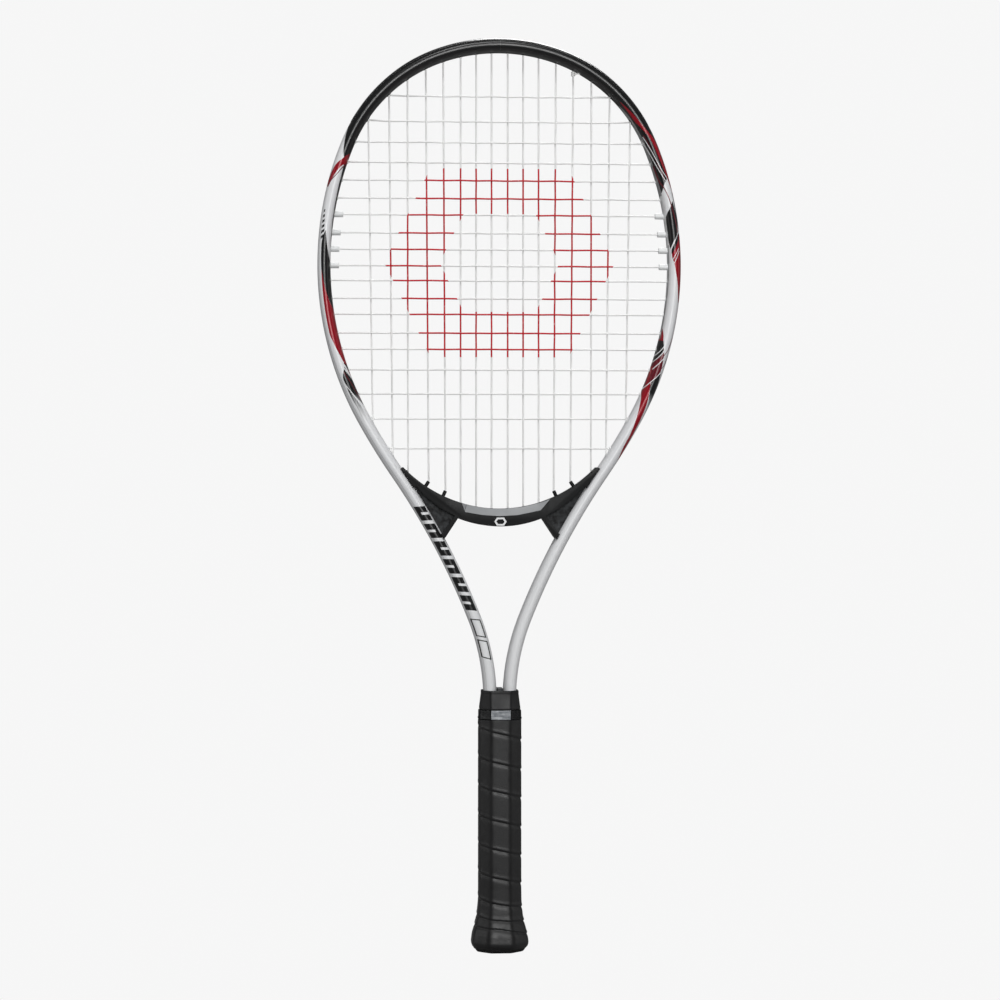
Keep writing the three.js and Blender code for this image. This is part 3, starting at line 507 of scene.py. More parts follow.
# Patches of paint in the order they are laid. Each is outlined in (distance from the tip in mm,
# place across the beam from -1 outside to 1 inside): its outer edge, its inner edge, and, for
# some, the two distances between which it fades out.
LEFT_PATCHES = [
    ("black", [(0, -1.3), (131, -1.3), (137, -0.94), (145, -0.63), (156, -0.05), (161, 0.5),
               (170, 1.3)],
     [(0, 1.3), (170, 1.3)]),
    ("black", [(158, 0.4), (166, 0.62), (185, 0.76), (210, 0.84), (232, 0.98)],
     [(158, 1.3), (232, 1.3)]),
    ("red", [(153, 1.3), (156, 0.7), (161, 0.08), (165, -0.42), (169, -0.7), (177, -0.93), (188, -1.3)],
     [(153, 1.3), (160, 1.3), (166, 0.36), (170, -0.02), (176, -0.4), (184, -0.92), (188, -1.3)]),
    ("black", [(217, 0.0), (221, -0.28), (228, -0.45), (248, -0.38), (265, 0.2), (279, 1.0),
               (284, 1.3)],
     [(217, 0.05), (229, 0.44), (238, 0.81), (248, 1.3), (284, 1.3)]),
    ("red", [(247, -0.38), (284, -0.33), (295, -0.32), (303, -0.06), (321, 0.65), (332, 0.99),
             (338, 1.3)],
     [(247, -0.36), (265, 0.2), (279, 1.0), (284, 1.3), (338, 1.3)]),
    ("black", [(320, 0.55), (331, 1.1), (333, 1.3)], [(320, 0.6), (324, 1.3), (333, 1.3)]),
    ("black", [(323, 0.45), (330, -0.25), (333, -0.31), (340, -0.04), (347, 0.37), (356, 0.96),
               (360, 1.3)],
     [(323, 0.5), (333, 0.97), (337, 1.3), (360, 1.3)], (345, 368)),
    ("black", [(338, -0.3), (348, -0.26), (357, -0.15), (370, -0.3)],
     [(338, -0.26), (349, 0.27), (357, 0.5), (370, 0.3)], (342, 368)),
]
RIGHT_PATCHES = [
    ("black", [(0, -1.3), (172, -1.3), (174, -0.93), (178, -0.04), (185, 0.8), (187, 1.3)],
     [(0, 1.3), (187, 1.3)]),
    # Painted shade: the white inner flank is laid in grey where it faces away from the light.
    ("grey", [(97, 1.3), (110, 0.95), (139, 0.86), (170, 0.84), (187, 0.8)], [(97, 1.3), (187, 1.3)]),
    ("red", [(106, 0.66), (119, 0.33), (130, 0.05), (138, -0.3), (145, -0.68), (161, -0.8),
             (185, -0.98),
             (198, -1.1)],
     [(106, 0.7), (122, 0.72), (132, 0.42), (143, -0.08), (160, -0.27), (177, -0.6), (185, -0.8),
      (198, -1.05)]),
    ("black", [(193, -0.52), (201, -0.7), (209, -0.76), (214, -0.67), (220, -0.37), (223, 0.07),
               (229, 0.66)],
     [(193, -0.48), (196, -0.18), (204, 0.8), (210, 0.86), (221, 0.85), (229, 0.7)]),
    ("red", [(219, -0.85), (222, -1.3), (262, -1.3), (270, -0.8)],
     [(219, -0.8), (225, -0.25), (234, 0.5), (241, 0.18), (248, -0.1), (255, -0.35), (270, -0.75)]),
    ("black", [(218, -0.85), (221, -0.7), (227, -0.2), (233, 0.45)],
     [(218, -0.6), (221, -0.3), (226, 0.16), (230, 0.52), (233, 0.56)]),
    ("red", [(288, 1.1), (297, 0.59), (303, 0.38)], [(288, 1.3), (303, 1.3)]),
    ("dark_red", [(301, 0.44), (306, 0.14), (312, -0.19), (327, -0.48), (334, 0.2), (342, 1.05)],
     [(301, 0.98), (342, 1.1)]),
    ("black", [(301, 0.44), (306, 0.14), (310, 0.06), (318, 0.95)], [(301, 1.0), (318, 1.0)]),
    ("red", [(334, 0.42), (342, 0.02), (349, -0.33), (365, -0.66), (373, -0.76), (390, -0.9),
             (404, -1.1)],
     [(334, 0.5), (342, 1.0), (350, 0.68), (360, 0.21), (377, -0.35), (389, -0.5), (404, -1.1)]),
    ("black", [(326, -0.62), (335, -0.85), (346, -0.9), (362, -0.9)],
     [(326, -0.5), (336, 0.27), (344, -0.16), (350, -0.55), (362, -0.8)], (342, 362)),
]

# Thin lines: colour, course in the same two measures, and half their breadth across the beam.
LEFT_LINES = [
    ("dark_red", [(163, 1.0), (166, 0.64), (173, 0.04), (179, -0.56), (184, -0.8)], 0.07),
    ("white", [(322, 0.2), (328, 0.65), (333, 0.97), (337, 1.2)], 0.1),
    ("dark_red", [(326, 0.1), (338, 0.6), (347, 0.83), (357, 1.15)], 0.05),
    # Painted shade: a soft grey line down the left beam, parallel to its outer edge.
    ("pale_grey", [(300, -0.72), (345, -0.56), (640, -0.56)], 0.04),
]
RIGHT_LINES = [
    ("dark_red", [(138, 0.62), (142, 0.48), (151, 0.4), (159, 0.28), (168, 0.06), (176, -0.2)], 0.04),
    ("white", [(139, 1.06), (152, 0.8), (168, 0.31), (177, -0.2)], 0.05),
    ("white", [(139, 0.76), (152, 0.42), (168, -0.08), (176, -0.58)], 0.05),
    ("dark_red", [(163, 0.85), (176, 0.7), (181, 0.37), (190, -0.05), (203, -0.34), (214, -0.57),
                  (222, -0.62)], 0.07),
    ("white", [(214, -0.8), (217, -0.65), (221, -0.27), (230, 0.62)], 0.045),
    ("black", [(186, -0.8), (202, -0.78), (214, -0.9)], 0.06),
    ("white", [(229, -0.55), (231, -0.37), (238, 0.45)], 0.05),
    ("white", [(231, -0.62), (235, -0.3), (241, 0.26)], 0.05),
    ("dark_red", [(262, -0.86), (275, -0.9), (297, -0.88)], 0.04),
    # Painted shade: a grey line along the inner edge of the right beam.
    ("grey", [(226, 0.9), (260, 0.93), (300, 0.98)], 0.05),
    ("white", [(304, 0.1), (306, 0.21), (313, 0.96), (315, 1.2)], 0.065),
    ("white", [(308, -0.05), (310, 0.08), (318, 0.95), (320, 1.2)], 0.065),
    ("white", [(314, -0.3), (316, -0.12), (326, 0.97), (328, 1.2)], 0.065),
    ("red", [(322, 0.95), (330, 0.9), (338, 0.75)], 0.14),
    ("white", [(324, -0.6), (326, -0.45), (340, 0.94), (342, 1.1)], 0.065),
    ("dark_red", [(297, -0.84), (307, -0.59), (313, -0.15)], 0.05),
    ("dark_red", [(310, -0.96), (319, -0.7), (322, -0.45)], 0.05),
]

# Dashes that grow towards the throat on the left, and plain blocks down the left shaft.
DASHES = [(199 + 4 * i, -0.64, -0.46 + 0.07 * i) for i in range(6)]
BLOCK_STARTS = [444 + 15.3 * i for i in range(6)]
BLOCK_LENGTH = 12.4
BLOCK_LOW, BLOCK_HIGH = -0.78, 0.7
SLIT_START = 0.42 * BLOCK_LENGTH
SLIT_LENGTH = 0.17 * BLOCK_LENGTH
OUTLINED_STARTS = [540, 557]
OUTLINED_LENGTH = 14.5
OUTLINE = 0.9
BLOCK_LEAN = 2.6
DASH_LENGTH = 2.2
DASH_LEAN = -4.0


def curve_of(shader, where, points, start, end):
    """A number that follows a drawn line over a stretch of the beam, scaled to 0..1."""
    made = shader.node("ShaderNodeFloatCurve")
    mapping = made.mapping
    curve = mapping.curves[0]
    mapping.use_clip = False
    scaled = [((s - start) / (end - start), (q + 2) / 4) for s, q in points]
    while len(curve.points) < len(scaled):
        curve.points.new(0.5, 0.5)
    for point, place in zip(curve.points, scaled):
        point.location = place
        point.handle_type = "AUTO_CLAMPED" if len(scaled) > 3 else "VECTOR"
    mapping.update()
    shader.link(where, made.inputs["Value"])
    made.inputs["Factor"].default_value = 1.0
    return Number(shader, made.outputs[0])


def between(s, start, end):
    """1 where a distance lies in a stretch of the beam; one from the tip stays on its own side."""
    return (s > max(start, 0.01)) * (s < end)


def curve_level(q):
    """The place across the beam on the curves' own scale."""
    return q * 0.25 + 0.5


def patch_mask(shader, s, q, outer, inner, fade=None):
    start, end = outer[0][0], outer[-1][0]
    where = shader.remap(s, start, end)
    above = curve_level(q) > curve_of(shader, where, outer, start, end)
    below = curve_level(q) < curve_of(shader, where, inner, start, end)
    mask = above * below * between(s, start, end)
    return mask * shader.remap(s, *fade, 1.0, 0.0) if fade else mask


def line_mask(shader, s, q, course, half_breadth):
    start, end = course[0][0], course[-1][0]
    away = curve_level(q) - curve_of(shader, shader.remap(s, start, end), course, start, end)
    return (abs(away) < half_breadth / 4) * between(s, start, end)


def slanted_block(s, q, start, length, low, high, slant):
    """A parallelogram across the beam: slant is how far its ends lean along the beam."""
    leaning = s - q * slant
    return (leaning > start) * (leaning < start + length) * (q > low) * (q < high)


def lay_paint(shader, colour, metallic, mask, name):
    """Lays one colour over the others, and keeps track of where the paint is metallic."""
    kept = metallic * (1 - mask)
    return shader.mix(mask, colour, PAINT[name]), kept + mask if name in METALLIC_PAINT else kept


def shaft_block_masks(s, q):
    """Solid slanted blocks with a slit in each, two drawn in outline, and the dashes."""
    masks = []
    for i, start in enumerate(BLOCK_STARTS):
        slit = (BLOCK_LOW, 0.25) if i % 2 else (-0.3, BLOCK_HIGH)
        gap = slanted_block(s, q, start + SLIT_START, SLIT_LENGTH, *slit, BLOCK_LEAN)
        block = slanted_block(s, q, start, BLOCK_LENGTH, BLOCK_LOW, BLOCK_HIGH, BLOCK_LEAN)
        masks.append(block * (1 - gap))
    for start in OUTLINED_STARTS:
        gap = slanted_block(s, q, start + OUTLINE, OUTLINED_LENGTH - 2 * OUTLINE, -0.55, 0.51, BLOCK_LEAN)
        block = slanted_block(s, q, start, OUTLINED_LENGTH, -0.72, 0.68, BLOCK_LEAN)
        masks.append(block * (1 - gap))
    for start, low, high in DASHES:
        masks.append(slanted_block(s, q, start, DASH_LENGTH, low, high, DASH_LEAN))
    return masks


def frame_paint():
    """Gloss enamel: white, black and metallic red patches under a clear coat, with some grey painted
    shade along the beam's edges.
    """
    shader = Shader("frame_enamel")
    along, q = shader.flat()
    signed = along * 1000.0
    blotches = shader.speckle(6.0, 3.0, 0.5, 0.3, 0.7)
    colour = shader.mix(blotches, PAINT["white"], rgb(218, 219, 221))
    metallic = signed * 0.0
    for side, patches, lines in ((-1.0, LEFT_PATCHES, LEFT_LINES), (1.0, RIGHT_PATCHES, RIGHT_LINES)):
        s = signed * side
        masks = [(name, patch_mask(shader, s, q, *shape)) for name, *shape in patches]
        masks += [(name, line_mask(shader, s, q, *shape)) for name, *shape in lines]
        for name, mask in masks:
            colour, metallic = lay_paint(shader, colour, metallic, mask, name)
        if side < 0:
            for mask in shaft_block_masks(s, q):
                colour = shader.mix(mask, colour, PAINT["black"])
    flake = shader.remap(shader.cells(2600.0), 0.0, 0.7, 0.85, 1.06)
    lively = shader.mix(metallic, colour, flake, "MULTIPLY")
    scuffs = shader.speckle(90.0, 6.0, 0.6, 0.45, 0.75, 0.3, 0.4)
    peel = shader.bump(shader.noise(420.0, 2.0), 0.00003, 0.4)
    return shader.finish(lively, scuffs, Normal=peel, Metallic=metallic * 0.08,
                         Specular_IOR_Level=0.28, Coat_Weight=0.22, Coat_Roughness=0.28)


# ---- Other materials ----
def moulded(name, dark, light, roughness, grain=900.0, depth=0.00006, mottle=25.0, **others):
    """A mottled plastic between two display colours, with a fine grain."""
    shader = Shader(name)
    colour = shader.mix(shader.speckle(mottle, 4.0, 0.5, 0.35, 0.65), rgb(*dark), rgb(*light))
    rough = shader.speckle(60.0, 5.0, 0.6, 0.3, 0.7, *roughness)
    return shader.finish(colour, rough, Normal=shader.bump(shader.cells(grain), depth, 0.6), **others)


STENCIL_HALF_WIDTH = 0.0885
STENCIL_HALF_HEIGHT = 0.0722
STENCIL_SLANT = 0.4
STENCIL_HOLLOW = 0.52
STENCIL_CENTRE_Z = 0.5265


def string_material():
    """Pale string with a plain hollow hexagon inked across the middle of the bed."""
    shader = Shader("string_multifilament")
    x, z = shader.flat()
    wide = abs(x) / STENCIL_HALF_WIDTH
    high = abs(z - STENCIL_CENTRE_Z) / STENCIL_HALF_HEIGHT
    reach = shader.math("MAXIMUM", wide + high * STENCIL_SLANT, high)
    worn = shader.speckle(700.0, 4.0, 0.7, 0.28, 0.42, 0.35, 1.0)
    ink = (reach < 1.0) * (reach > STENCIL_HOLLOW) * worn
    yellowing = shader.speckle(40.0, 3.0, 0.5, 0.3, 0.7)
    plain = shader.mix(yellowing, rgb(242, 242, 241), rgb(233, 233, 232))
    colour = shader.mix(ink, plain, rgb(196, 14, 32))
    rough = shader.speckle(500.0, 3.0, 0.5, 0.3, 0.7, 0.42, 0.6)
    twist = shader.bump(shader.noise(2500.0, 2.0), 0.00003, 0.5)
    return shader.finish(colour, rough, Normal=twist, Specular_IOR_Level=0.3)


def grip_material():
    shader = Shader("grip_polyurethane")
    handled = shader.speckle(30.0, 5.0, 0.6, 0.3, 0.7)
    colour = shader.mix(handled, rgb(8, 8, 9), rgb(15, 15, 16))
    rough = shader.speckle(160.0, 5.0, 0.6, 0.3, 0.7, 0.36, 0.52)
    grain = shader.bump(shader.cells(1500.0), 0.00008, 0.5)
    creases = shader.bump(shader.noise(220.0, 6.0, 0.65), 0.00025, 0.35, Normal=grain)
    return shader.finish(colour, rough, Normal=creases, Specular_IOR_Level=0.45)


# Half width in metres of the painted reflection on the tape's front bevel.
PAINTED_REFLECTION_HALF_WIDTH = 0.0074


def tape_material():
    """Glossy dark tape; the front bevel carries a light grey field that is a painted reflection of the
    light on the gloss.
    """
    shader = Shader("finishing_vinyl")
    x, y = shader.split(shader.coordinates())
    # Painted reflection: the middle of the front bevel is coloured light grey as the glint of the light
    # on the glossy tape.
    painted_reflection = (y < 0.0) * (abs(x) < PAINTED_REFLECTION_HALF_WIDTH)
    crinkle = shader.noise(240.0, 4.0, 0.6, (1.0, 1.0, 2.5))
    dark = shader.mix(shader.remap(crinkle, 0.3, 0.7), rgb(14, 15, 16), rgb(22, 23, 24))
    painted_reflection_grey = shader.mix(shader.remap(crinkle, 0.35, 0.65), rgb(110, 114, 118), rgb(168, 171, 174))
    rough = shader.speckle(90.0, 4.0, 0.6, 0.3, 0.7, 0.14, 0.3)
    return shader.finish(shader.mix(painted_reflection, dark, painted_reflection_grey), rough,
                         Normal=shader.bump(crinkle, 0.0002, 0.4), Specular_IOR_Level=0.1)


def make_materials():
    return {
        "frame": frame_paint(),
        "bumper": moulded("bumper_nylon", (12, 13, 14), (18, 19, 20), (0.22, 0.34), depth=0.00001),
        "white_grommet": moulded("grommet_nylon_white", (226, 227, 227), (214, 216, 216), (0.32, 0.5)),
        "bridge": moulded("bridge_polymer", (11, 12, 13), (18, 19, 20), (0.4, 0.55), depth=0.00002,
                          Specular_IOR_Level=0.18),
        "bridge_web": moulded("bridge_web_polymer", (8, 8, 9), (52, 54, 56), (0.45, 0.65), 420.0,
                              0.0004, 260.0, Specular_IOR_Level=0.25),
        # Light grey painted highlight for the bridge chamfer's upward faces.
        "painted_highlight_chamfer": moulded("bridge_chamfer_painted_highlight", (130, 132, 134), (152, 154, 156), (0.4, 0.52),
                        Specular_IOR_Level=0.3),
        "print": moulded("printed_mark", (226, 227, 228), (212, 213, 214), (0.3, 0.42), 1500.0, 0.00002),
        "string": string_material(),
        "grip": grip_material(),
        "collar": moulded("collar_rubber", (13, 13, 14), (20, 20, 21), (0.4, 0.55), 1300.0,
                          Specular_IOR_Level=0.3),
        "tape": tape_material(),
        "butt": moulded("butt_cap_polymer", (14, 15, 16), (21, 22, 23), (0.38, 0.55), 1100.0,
                        Specular_IOR_Level=0.3),
        "pallet": moulded("handle_foam_skin", (46, 47, 50), (58, 60, 62), (0.55, 0.75), 600.0),
        "staple": moulded("staple_wire", (150, 152, 155), (176, 178, 180), (0.25, 0.4), 1500.0, 0.00003,
                          Metallic=1.0),
    }


# ---- Camera ----
CAMERA_TARGET = (0.0003, 0, 0.3449)
CAMERA_AZIMUTH = -4
CAMERA_DISTANCE = 2.1
SENSOR_WIDTH = 36
FIELD_WIDTH = 0.7663


def stand_off(thing, target, azimuth, elevation, distance):
    """Sets a camera or light facing its target; azimuth is measured from the front, left negative."""
    turn, lift = azimuth * DEGREE, elevation * DEGREE
    back = Vector((math.sin(turn) * math.cos(lift), -math.cos(turn) * math.cos(lift), math.sin(lift)))
    thing.location = Vector(target) + distance * back
    thing.rotation_mode = "QUATERNION"
    thing.rotation_quaternion = (-back).to_track_quat("-Z", "Y")
    bpy.context.scene.collection.objects.link(thing)


def make_camera():
    camera = bpy.data.objects.new("camera", bpy.data.cameras.new("camera"))
    camera.data.sensor_width = SENSOR_WIDTH
    camera.data.lens = SENSOR_WIDTH * CAMERA_DISTANCE / FIELD_WIDTH
    camera.data.clip_start, camera.data.clip_end = 0.05, 200
    stand_off(camera, CAMERA_TARGET, CAMERA_AZIMUTH, 0, CAMERA_DISTANCE)
    bpy.context.scene.camera = camera


# ---- Frame, bumper and grommets ----
BARREL_BASE = STRIP_SEAT - 0.3
BUMPER_TURN = 60.57
BUMPER_RUN_OUT = 60
BUMPER_REACH = next(s for s in np.arange(100, 250, 0.5) if along_side(s)[2] > BUMPER_TURN * DEGREE)
STRIP_END_Z = 331.5
STRIP_END = next(s for s in np.arange(500, 700, 0.5) if along_side(s)[1] < STRIP_END_Z)
BRIDGE_STRIP_REACH = 61.3


def frame_skin(materials):
    distances = np.linspace(-FOOT_DISTANCE, FOOT_DISTANCE, 720)
    fade = np.clip((GROOVE_END_DISTANCE - np.abs(distances)) / GROOVE_RUN_OUT, 0, 1)
    sections = [beam_section(g) for g in fade]
    verts, faces = sweep([beam_place(s) for s in distances], sections)
    uvs = np.vstack([
        np.column_stack([np.full(len(section), s * MM), section[:, 1] / BEAM_HALF_WIDTH])
        for s, section in zip(distances, sections)
    ])
    return closed_piece("frame_skin", verts, faces, materials["frame"], uvs)


def barrel_shell(hole, base):
    outer, bore = hole.barrel["outer"], hole.barrel["bore"]
    tip = hole.wall + hole.barrel["proud"]
    round_off = min(0.4, hole.barrel["proud"] / 2)
    profile = [
        (bore, base), (outer, base), (outer, hole.wall - 0.2), (outer * 0.98, tip - round_off),
        (outer - 0.12, tip - 0.1), (outer - 0.3, tip), (bore + 0.1, tip), (bore, tip - 0.12),
    ]
    slope = np.linalg.norm(hole.inward)
    return lathe_about([(radius, slope * height) for radius, height in profile], hole.place, hole.inward)


def strip_section():
    half, face, low = STRIP_HALF_WIDTH, STRIP_FACE, STRIP_FACE + 0.15
    return np.array([
        (-half, low), (-half + 0.15, face), (-1.1, face), (-0.7, low), (0.7, low), (1.1, face),
        (half - 0.15, face), (half, low), (half, STRIP_SEAT), (-half, STRIP_SEAT),
    ])


def bumper_section(full):
    """Half-open moulding round the beam's outer side; full falls from 1 to 0 towards its ends."""
    groove_half, seat_gap, edge = 1.8, 0.1, 8.2
    thick = 0.05 + 0.6 * full
    depths = np.linspace(3.5, edge, 7)
    under = [(d, -(crown(d) + seat_gap)) for d in depths]
    thinning = 1 - 0.55 * ((depths - 3.5) / (edge - 3.5)) ** 2
    over = [(d, -(crown(d) + seat_gap) - thick * share) for d, share in zip(depths, thinning)]
    face = -(BEAM_HALF_WIDTH - 0.1 + (BUMPER_PROUD + 0.1) * full)
    half = [
        (groove_half - 0.25, STRIP_FACE), (groove_half, STRIP_FACE - 0.25), (groove_half, face + 0.35),
        (groove_half + 0.3, face + 0.02), (2.6, face + 0.05), *over,
        (edge + 0.12, over[-1][1] + 0.15), *reversed(under), (2.9, -5.2), (2.9, STRIP_SEAT),
    ]
    return np.array(half + [(-d, v) for d, v in reversed(half)])


def bumper(materials):
    distances = np.linspace(-BUMPER_REACH, BUMPER_REACH, 180)
    sections = [bumper_section(min(1, (BUMPER_REACH - abs(s)) / BUMPER_RUN_OUT)) for s in distances]
    bundle = Bundle()
    bundle.add(*sweep([beam_place(s) for s in distances], sections))
    for hole in HEADS[-1] + HEADS[1]:
        bundle.add(*barrel_shell(hole, BARREL_BASE))
    return bundle.piece("head_bumper", materials["bumper"])


def side_grommets(side, materials):
    distances = side * np.linspace(BUMPER_REACH + 0.7, STRIP_END, 220)
    if side < 0:
        distances = distances[::-1]
    section = strip_section()
    bundle = Bundle()
    bundle.add(*sweep([beam_place(s) for s in distances], [section] * len(distances)))
    for hole in CROSS_ENDS[side][SHARED_HEADS:] + SHAFT_FEET[side][1:]:
        bundle.add(*barrel_shell(hole, BARREL_BASE))
    name = "left" if side < 0 else "right"
    return bundle.piece(f"side_grommets_{name}", materials["white_grommet"])


def bridge_grommets(materials):
    near = BRIDGE_TOP_RADIUS + BRIDGE_BAND + 0.3
    turn = math.asin(BRIDGE_STRIP_REACH / near)
    bundle = Bundle()
    points = [bridge_place(angle, near) for angle in np.linspace(-turn, turn, 60)]
    section = np.array([(-2.7, 0), (-2.7, -0.7), (-2.5, -0.8), (2.5, -0.8), (2.7, -0.7), (2.7, 0)])
    bundle.add(*sweep(points, [section] * len(points)))
    for hole in BRIDGE_FEET[-1] + BRIDGE_FEET[1]:
        bundle.add(*barrel_shell(hole, -BRIDGE_BAND - 0.5))
    for side in (-1, 1):
        bundle.add(*barrel_shell(SHAFT_FEET[side][0], BARREL_BASE))
    return bundle.piece("bridge_grommets", materials["bridge"])


# ---- Strings ----
LOOP_REACH = STRIP_FACE - 0.15 - STRING_RADIUS
BRIDGE_LOOP_REACH = -BRIDGE_BAND - 0.75 - 0.8 - STRING_RADIUS
CROSS_RISE = 0.95
MAIN_RISE = 0.45
STRING_SWAY = 0.06
END_CLEARANCE = 3
CORNER_REACH = 0.9
KNOT_MAIN = 4
KNOT_TURNS = 2.6
KNOT_RADIUS = 1.15
KNOT_HEIGHT = 3.4


def main_y(i):
    """A main in a shared hole keeps to the front of it."""
    return -SHARED_SIDE if i >= SHARED_FROM else 0.0


def main_line(side, i):
    """Mouths of one main's barrels, at the throat and at the tip."""
    return main_foot(side, i).mouth(main_y(i)), HEADS[side][i].mouth(main_y(i))


def main_x(side, i, height):
    foot, head = main_line(side, i)
    return foot[0] + (head[0] - foot[0]) * (height - foot[2]) / (head[2] - foot[2])


def rank(side, i):
    """Mains counted from left to right."""
    count = len(MAIN_OFFSETS)
    return count - 1 - i if side < 0 else count + i


def mains_over(row, order):
    """1 where the cross passes behind the main, -1 where it passes in front."""
    return 1 if (row + order) % 2 == 0 else -1


def crossings_of_row(row):
    height = CROSS_HEIGHTS[row]
    limit = abs(CROSS_ENDS[1][row].mouth()[0]) - END_CLEARANCE
    found = []
    for side in (-1, 1):
        for i in range(len(MAIN_OFFSETS)):
            x = main_x(side, i, height)
            if abs(x) < limit:
                found.append((x, side, i))
    return sorted(found)


def eased(start, end, count):
    """Points from start to end whose y eases in and out while x and z go straight."""
    t = np.linspace(0, 1, count, endpoint=False)[:, None]
    path = start + (end - start) * t
    ease = (1 - np.cos(math.pi * t[:, 0])) / 2
    path[:, 1] = start[1] + (end[1] - start[1]) * ease
    return path


def woven(stops):
    parts = []
    for start, end in zip(stops[:-1], stops[1:]):
        count = max(4, int(np.linalg.norm(end - start) / 1.4))
        parts.append(eased(start, end, count))
    return np.vstack(parts + [stops[-1][None]])


def outer_loop(first, second, y):
    """Corners of the string's run in the outer groove between two beam holes."""
    count = max(3, int(abs(first.distance - second.distance) / 2))
    run = []
    for s in np.linspace(first.distance, second.distance, count + 2)[1:-1]:
        place, inward = beam_place(s)
        run.append(place + LOOP_REACH * inward + np.array([0, y, 0]))
    return run


def rounded(route):
    """Cuts each sharp corner of a route with three points."""
    route = [np.asarray(p, float) for p in route]
    result = [route[0]]
    for before, here, after in zip(route[:-2], route[1:-1], route[2:]):
        back, ahead = before - here, after - here
        a, b = np.linalg.norm(back), np.linalg.norm(ahead)
        if a < 1e-6 or b < 1e-6:
            continue
        if back.dot(ahead) / (a * b) > -0.8:
            r = min(CORNER_REACH, a * 0.45, b * 0.45)
            p, q = here + back / a * r, here + ahead / b * r
            result += [p, (p + 2 * here + q) / 4, q]
        else:
            result.append(here)
    return np.array(result + [route[-1]])


def main_route(side):
    route = []
    for i in range(len(MAIN_OFFSETS)):
        foot, head = main_foot(side, i), HEADS[side][i]
        y = main_y(i)
        low, high = main_line(side, i)
        stops = [low]
        for row in reversed(range(len(CROSS_HEIGHTS))):
            height = CROSS_HEIGHTS[row]
            if low[2] + END_CLEARANCE < height < high[2] - END_CLEARANCE:
                sway = STRING_SWAY * math.sin(3.1 * row + 1.7 * i)
                rise = -MAIN_RISE * mains_over(row, rank(side, i))
                stops.append(np.array([main_x(side, i, height) + sway, rise, height]))
        stops.append(high)
        reach = BRIDGE_LOOP_REACH if i < BRIDGE_MAINS else LOOP_REACH
        up = [foot.at(reach, y), *woven(stops), head.at(LOOP_REACH, y)]
        goes_up = i % 2 == 0
        route += up if goes_up else up[::-1]
        if i < len(MAIN_OFFSETS) - 1:
            after = HEADS[side][i + 1] if goes_up else main_foot(side, i + 1)
            if goes_up or i >= BRIDGE_MAINS:
                route += outer_loop(head if goes_up else foot, after, (y + main_y(i + 1)) / 2)
    return route


def string_piece(name, materials, *courses):
    """One piece from (corners, radius) courses; the ink goes by where each point lies in the bed."""
    bundle = Bundle()
    for corners, radius in courses:
        bundle.add(*tube_along(rounded(corners), radius))
    return bundle.piece(name, materials["string"], bundle.verts[:, [0, 2]] * MM)


def main_strings(materials):
    """All the mains in one string, tied off in a small coil round one of them."""
    route = main_route(-1)[::-1] + main_route(1)
    x, _, mouth_z = HEADS[1][KNOT_MAIN].mouth()
    top = mouth_z - 0.3
    coil = []
    for t in np.linspace(0, 1, 60):
        angle = 2 * math.pi * KNOT_TURNS * t
        across, deep = KNOT_RADIUS * math.cos(angle), KNOT_RADIUS * math.sin(angle)
        coil.append((x + across, deep, top - KNOT_HEIGHT * t))
    coil += [(x + 1.3, 0.4, top - 2.2), (x + 3.0, -0.6, top - 1.6), (x + 5.2, -0.9, top - 1.9)]
    return string_piece("main_strings", materials, (route, STRING_RADIUS), (coil, STRING_RADIUS * 0.95))


def cross_strings(materials):
    route = []
    for row, height in enumerate(CROSS_HEIGHTS):
        left, right = CROSS_ENDS[-1][row], CROSS_ENDS[1][row]
        y = SHARED_SIDE if row < SHARED_HEADS else 0.0
        stops = [left.mouth(y)]
        for x, side, i in crossings_of_row(row):
            sway = STRING_SWAY * math.sin(2.3 * row + 1.1 * rank(side, i))
            stops.append(np.array([x, CROSS_RISE * mains_over(row, rank(side, i)), height + sway]))
        stops.append(right.mouth(y))
        line = [left.at(LOOP_REACH, y), *woven(stops), right.at(LOOP_REACH, y)]
        if row % 2 == 1:
            line = line[::-1]
        if row > 0:
            ends = CROSS_ENDS[1 if row % 2 == 1 else -1]
            loop_y = SHARED_SIDE if row <= SHARED_HEADS else 0.0
            route += outer_loop(ends[row - 1], ends[row], loop_y)
        route += line
    return string_piece("cross_strings", materials, (route, STRING_RADIUS))


# ---- Throat bridge ----
def prism(outline, low, high):
    """A prism along Y from a closed XZ outline."""
    verts = [(x, low, z) for x, z in outline] + [(x, high, z) for x, z in outline]
    count = len(outline)
    return np.array(verts), grid_faces(2, count) + end_caps(2, count)


def arc_points(centre_z, radius, start, end, count):
    angles = np.linspace(start, end, count)
    return [(radius * math.sin(a), centre_z - radius * math.cos(a)) for a in angles]


def shaft_line(inset, low, high):
    """Points down the right shaft at a place across the beam, between two heights."""
    line = []
    for s in np.arange(400, 660, 3.0):
        place, inward = beam_place(s)
        x, _, z = place + inset * inward
        if low < z < high:
            line.append((x, z))
    return line


def bridge_outline():
    tip_turn = math.asin(BRIDGE_TIP_X / BRIDGE_TOP_RADIUS)
    foot_turn = math.asin(GUSSET_INNER[0] / BRIDGE_FOOT_RADIUS)
    lower = arc_points(BRIDGE_FOOT_Z + BRIDGE_FOOT_RADIUS, BRIDGE_FOOT_RADIUS, -foot_turn, foot_turn, 24)
    upper = arc_points(BRIDGE_CENTRE_Z, BRIDGE_TOP_RADIUS, tip_turn, -tip_turn, 64)
    shaft = shaft_line(BRIDGE_SEAT, GUSSET_OUTER[1] - 2.5, upper[0][1] - 0.5)
    rising = shaft[::-1]
    falling = [(-x, z) for x, z in shaft]
    return lower + [GUSSET_OUTER] + rising + upper + falling + [(-GUSSET_OUTER[0], GUSSET_OUTER[1])]


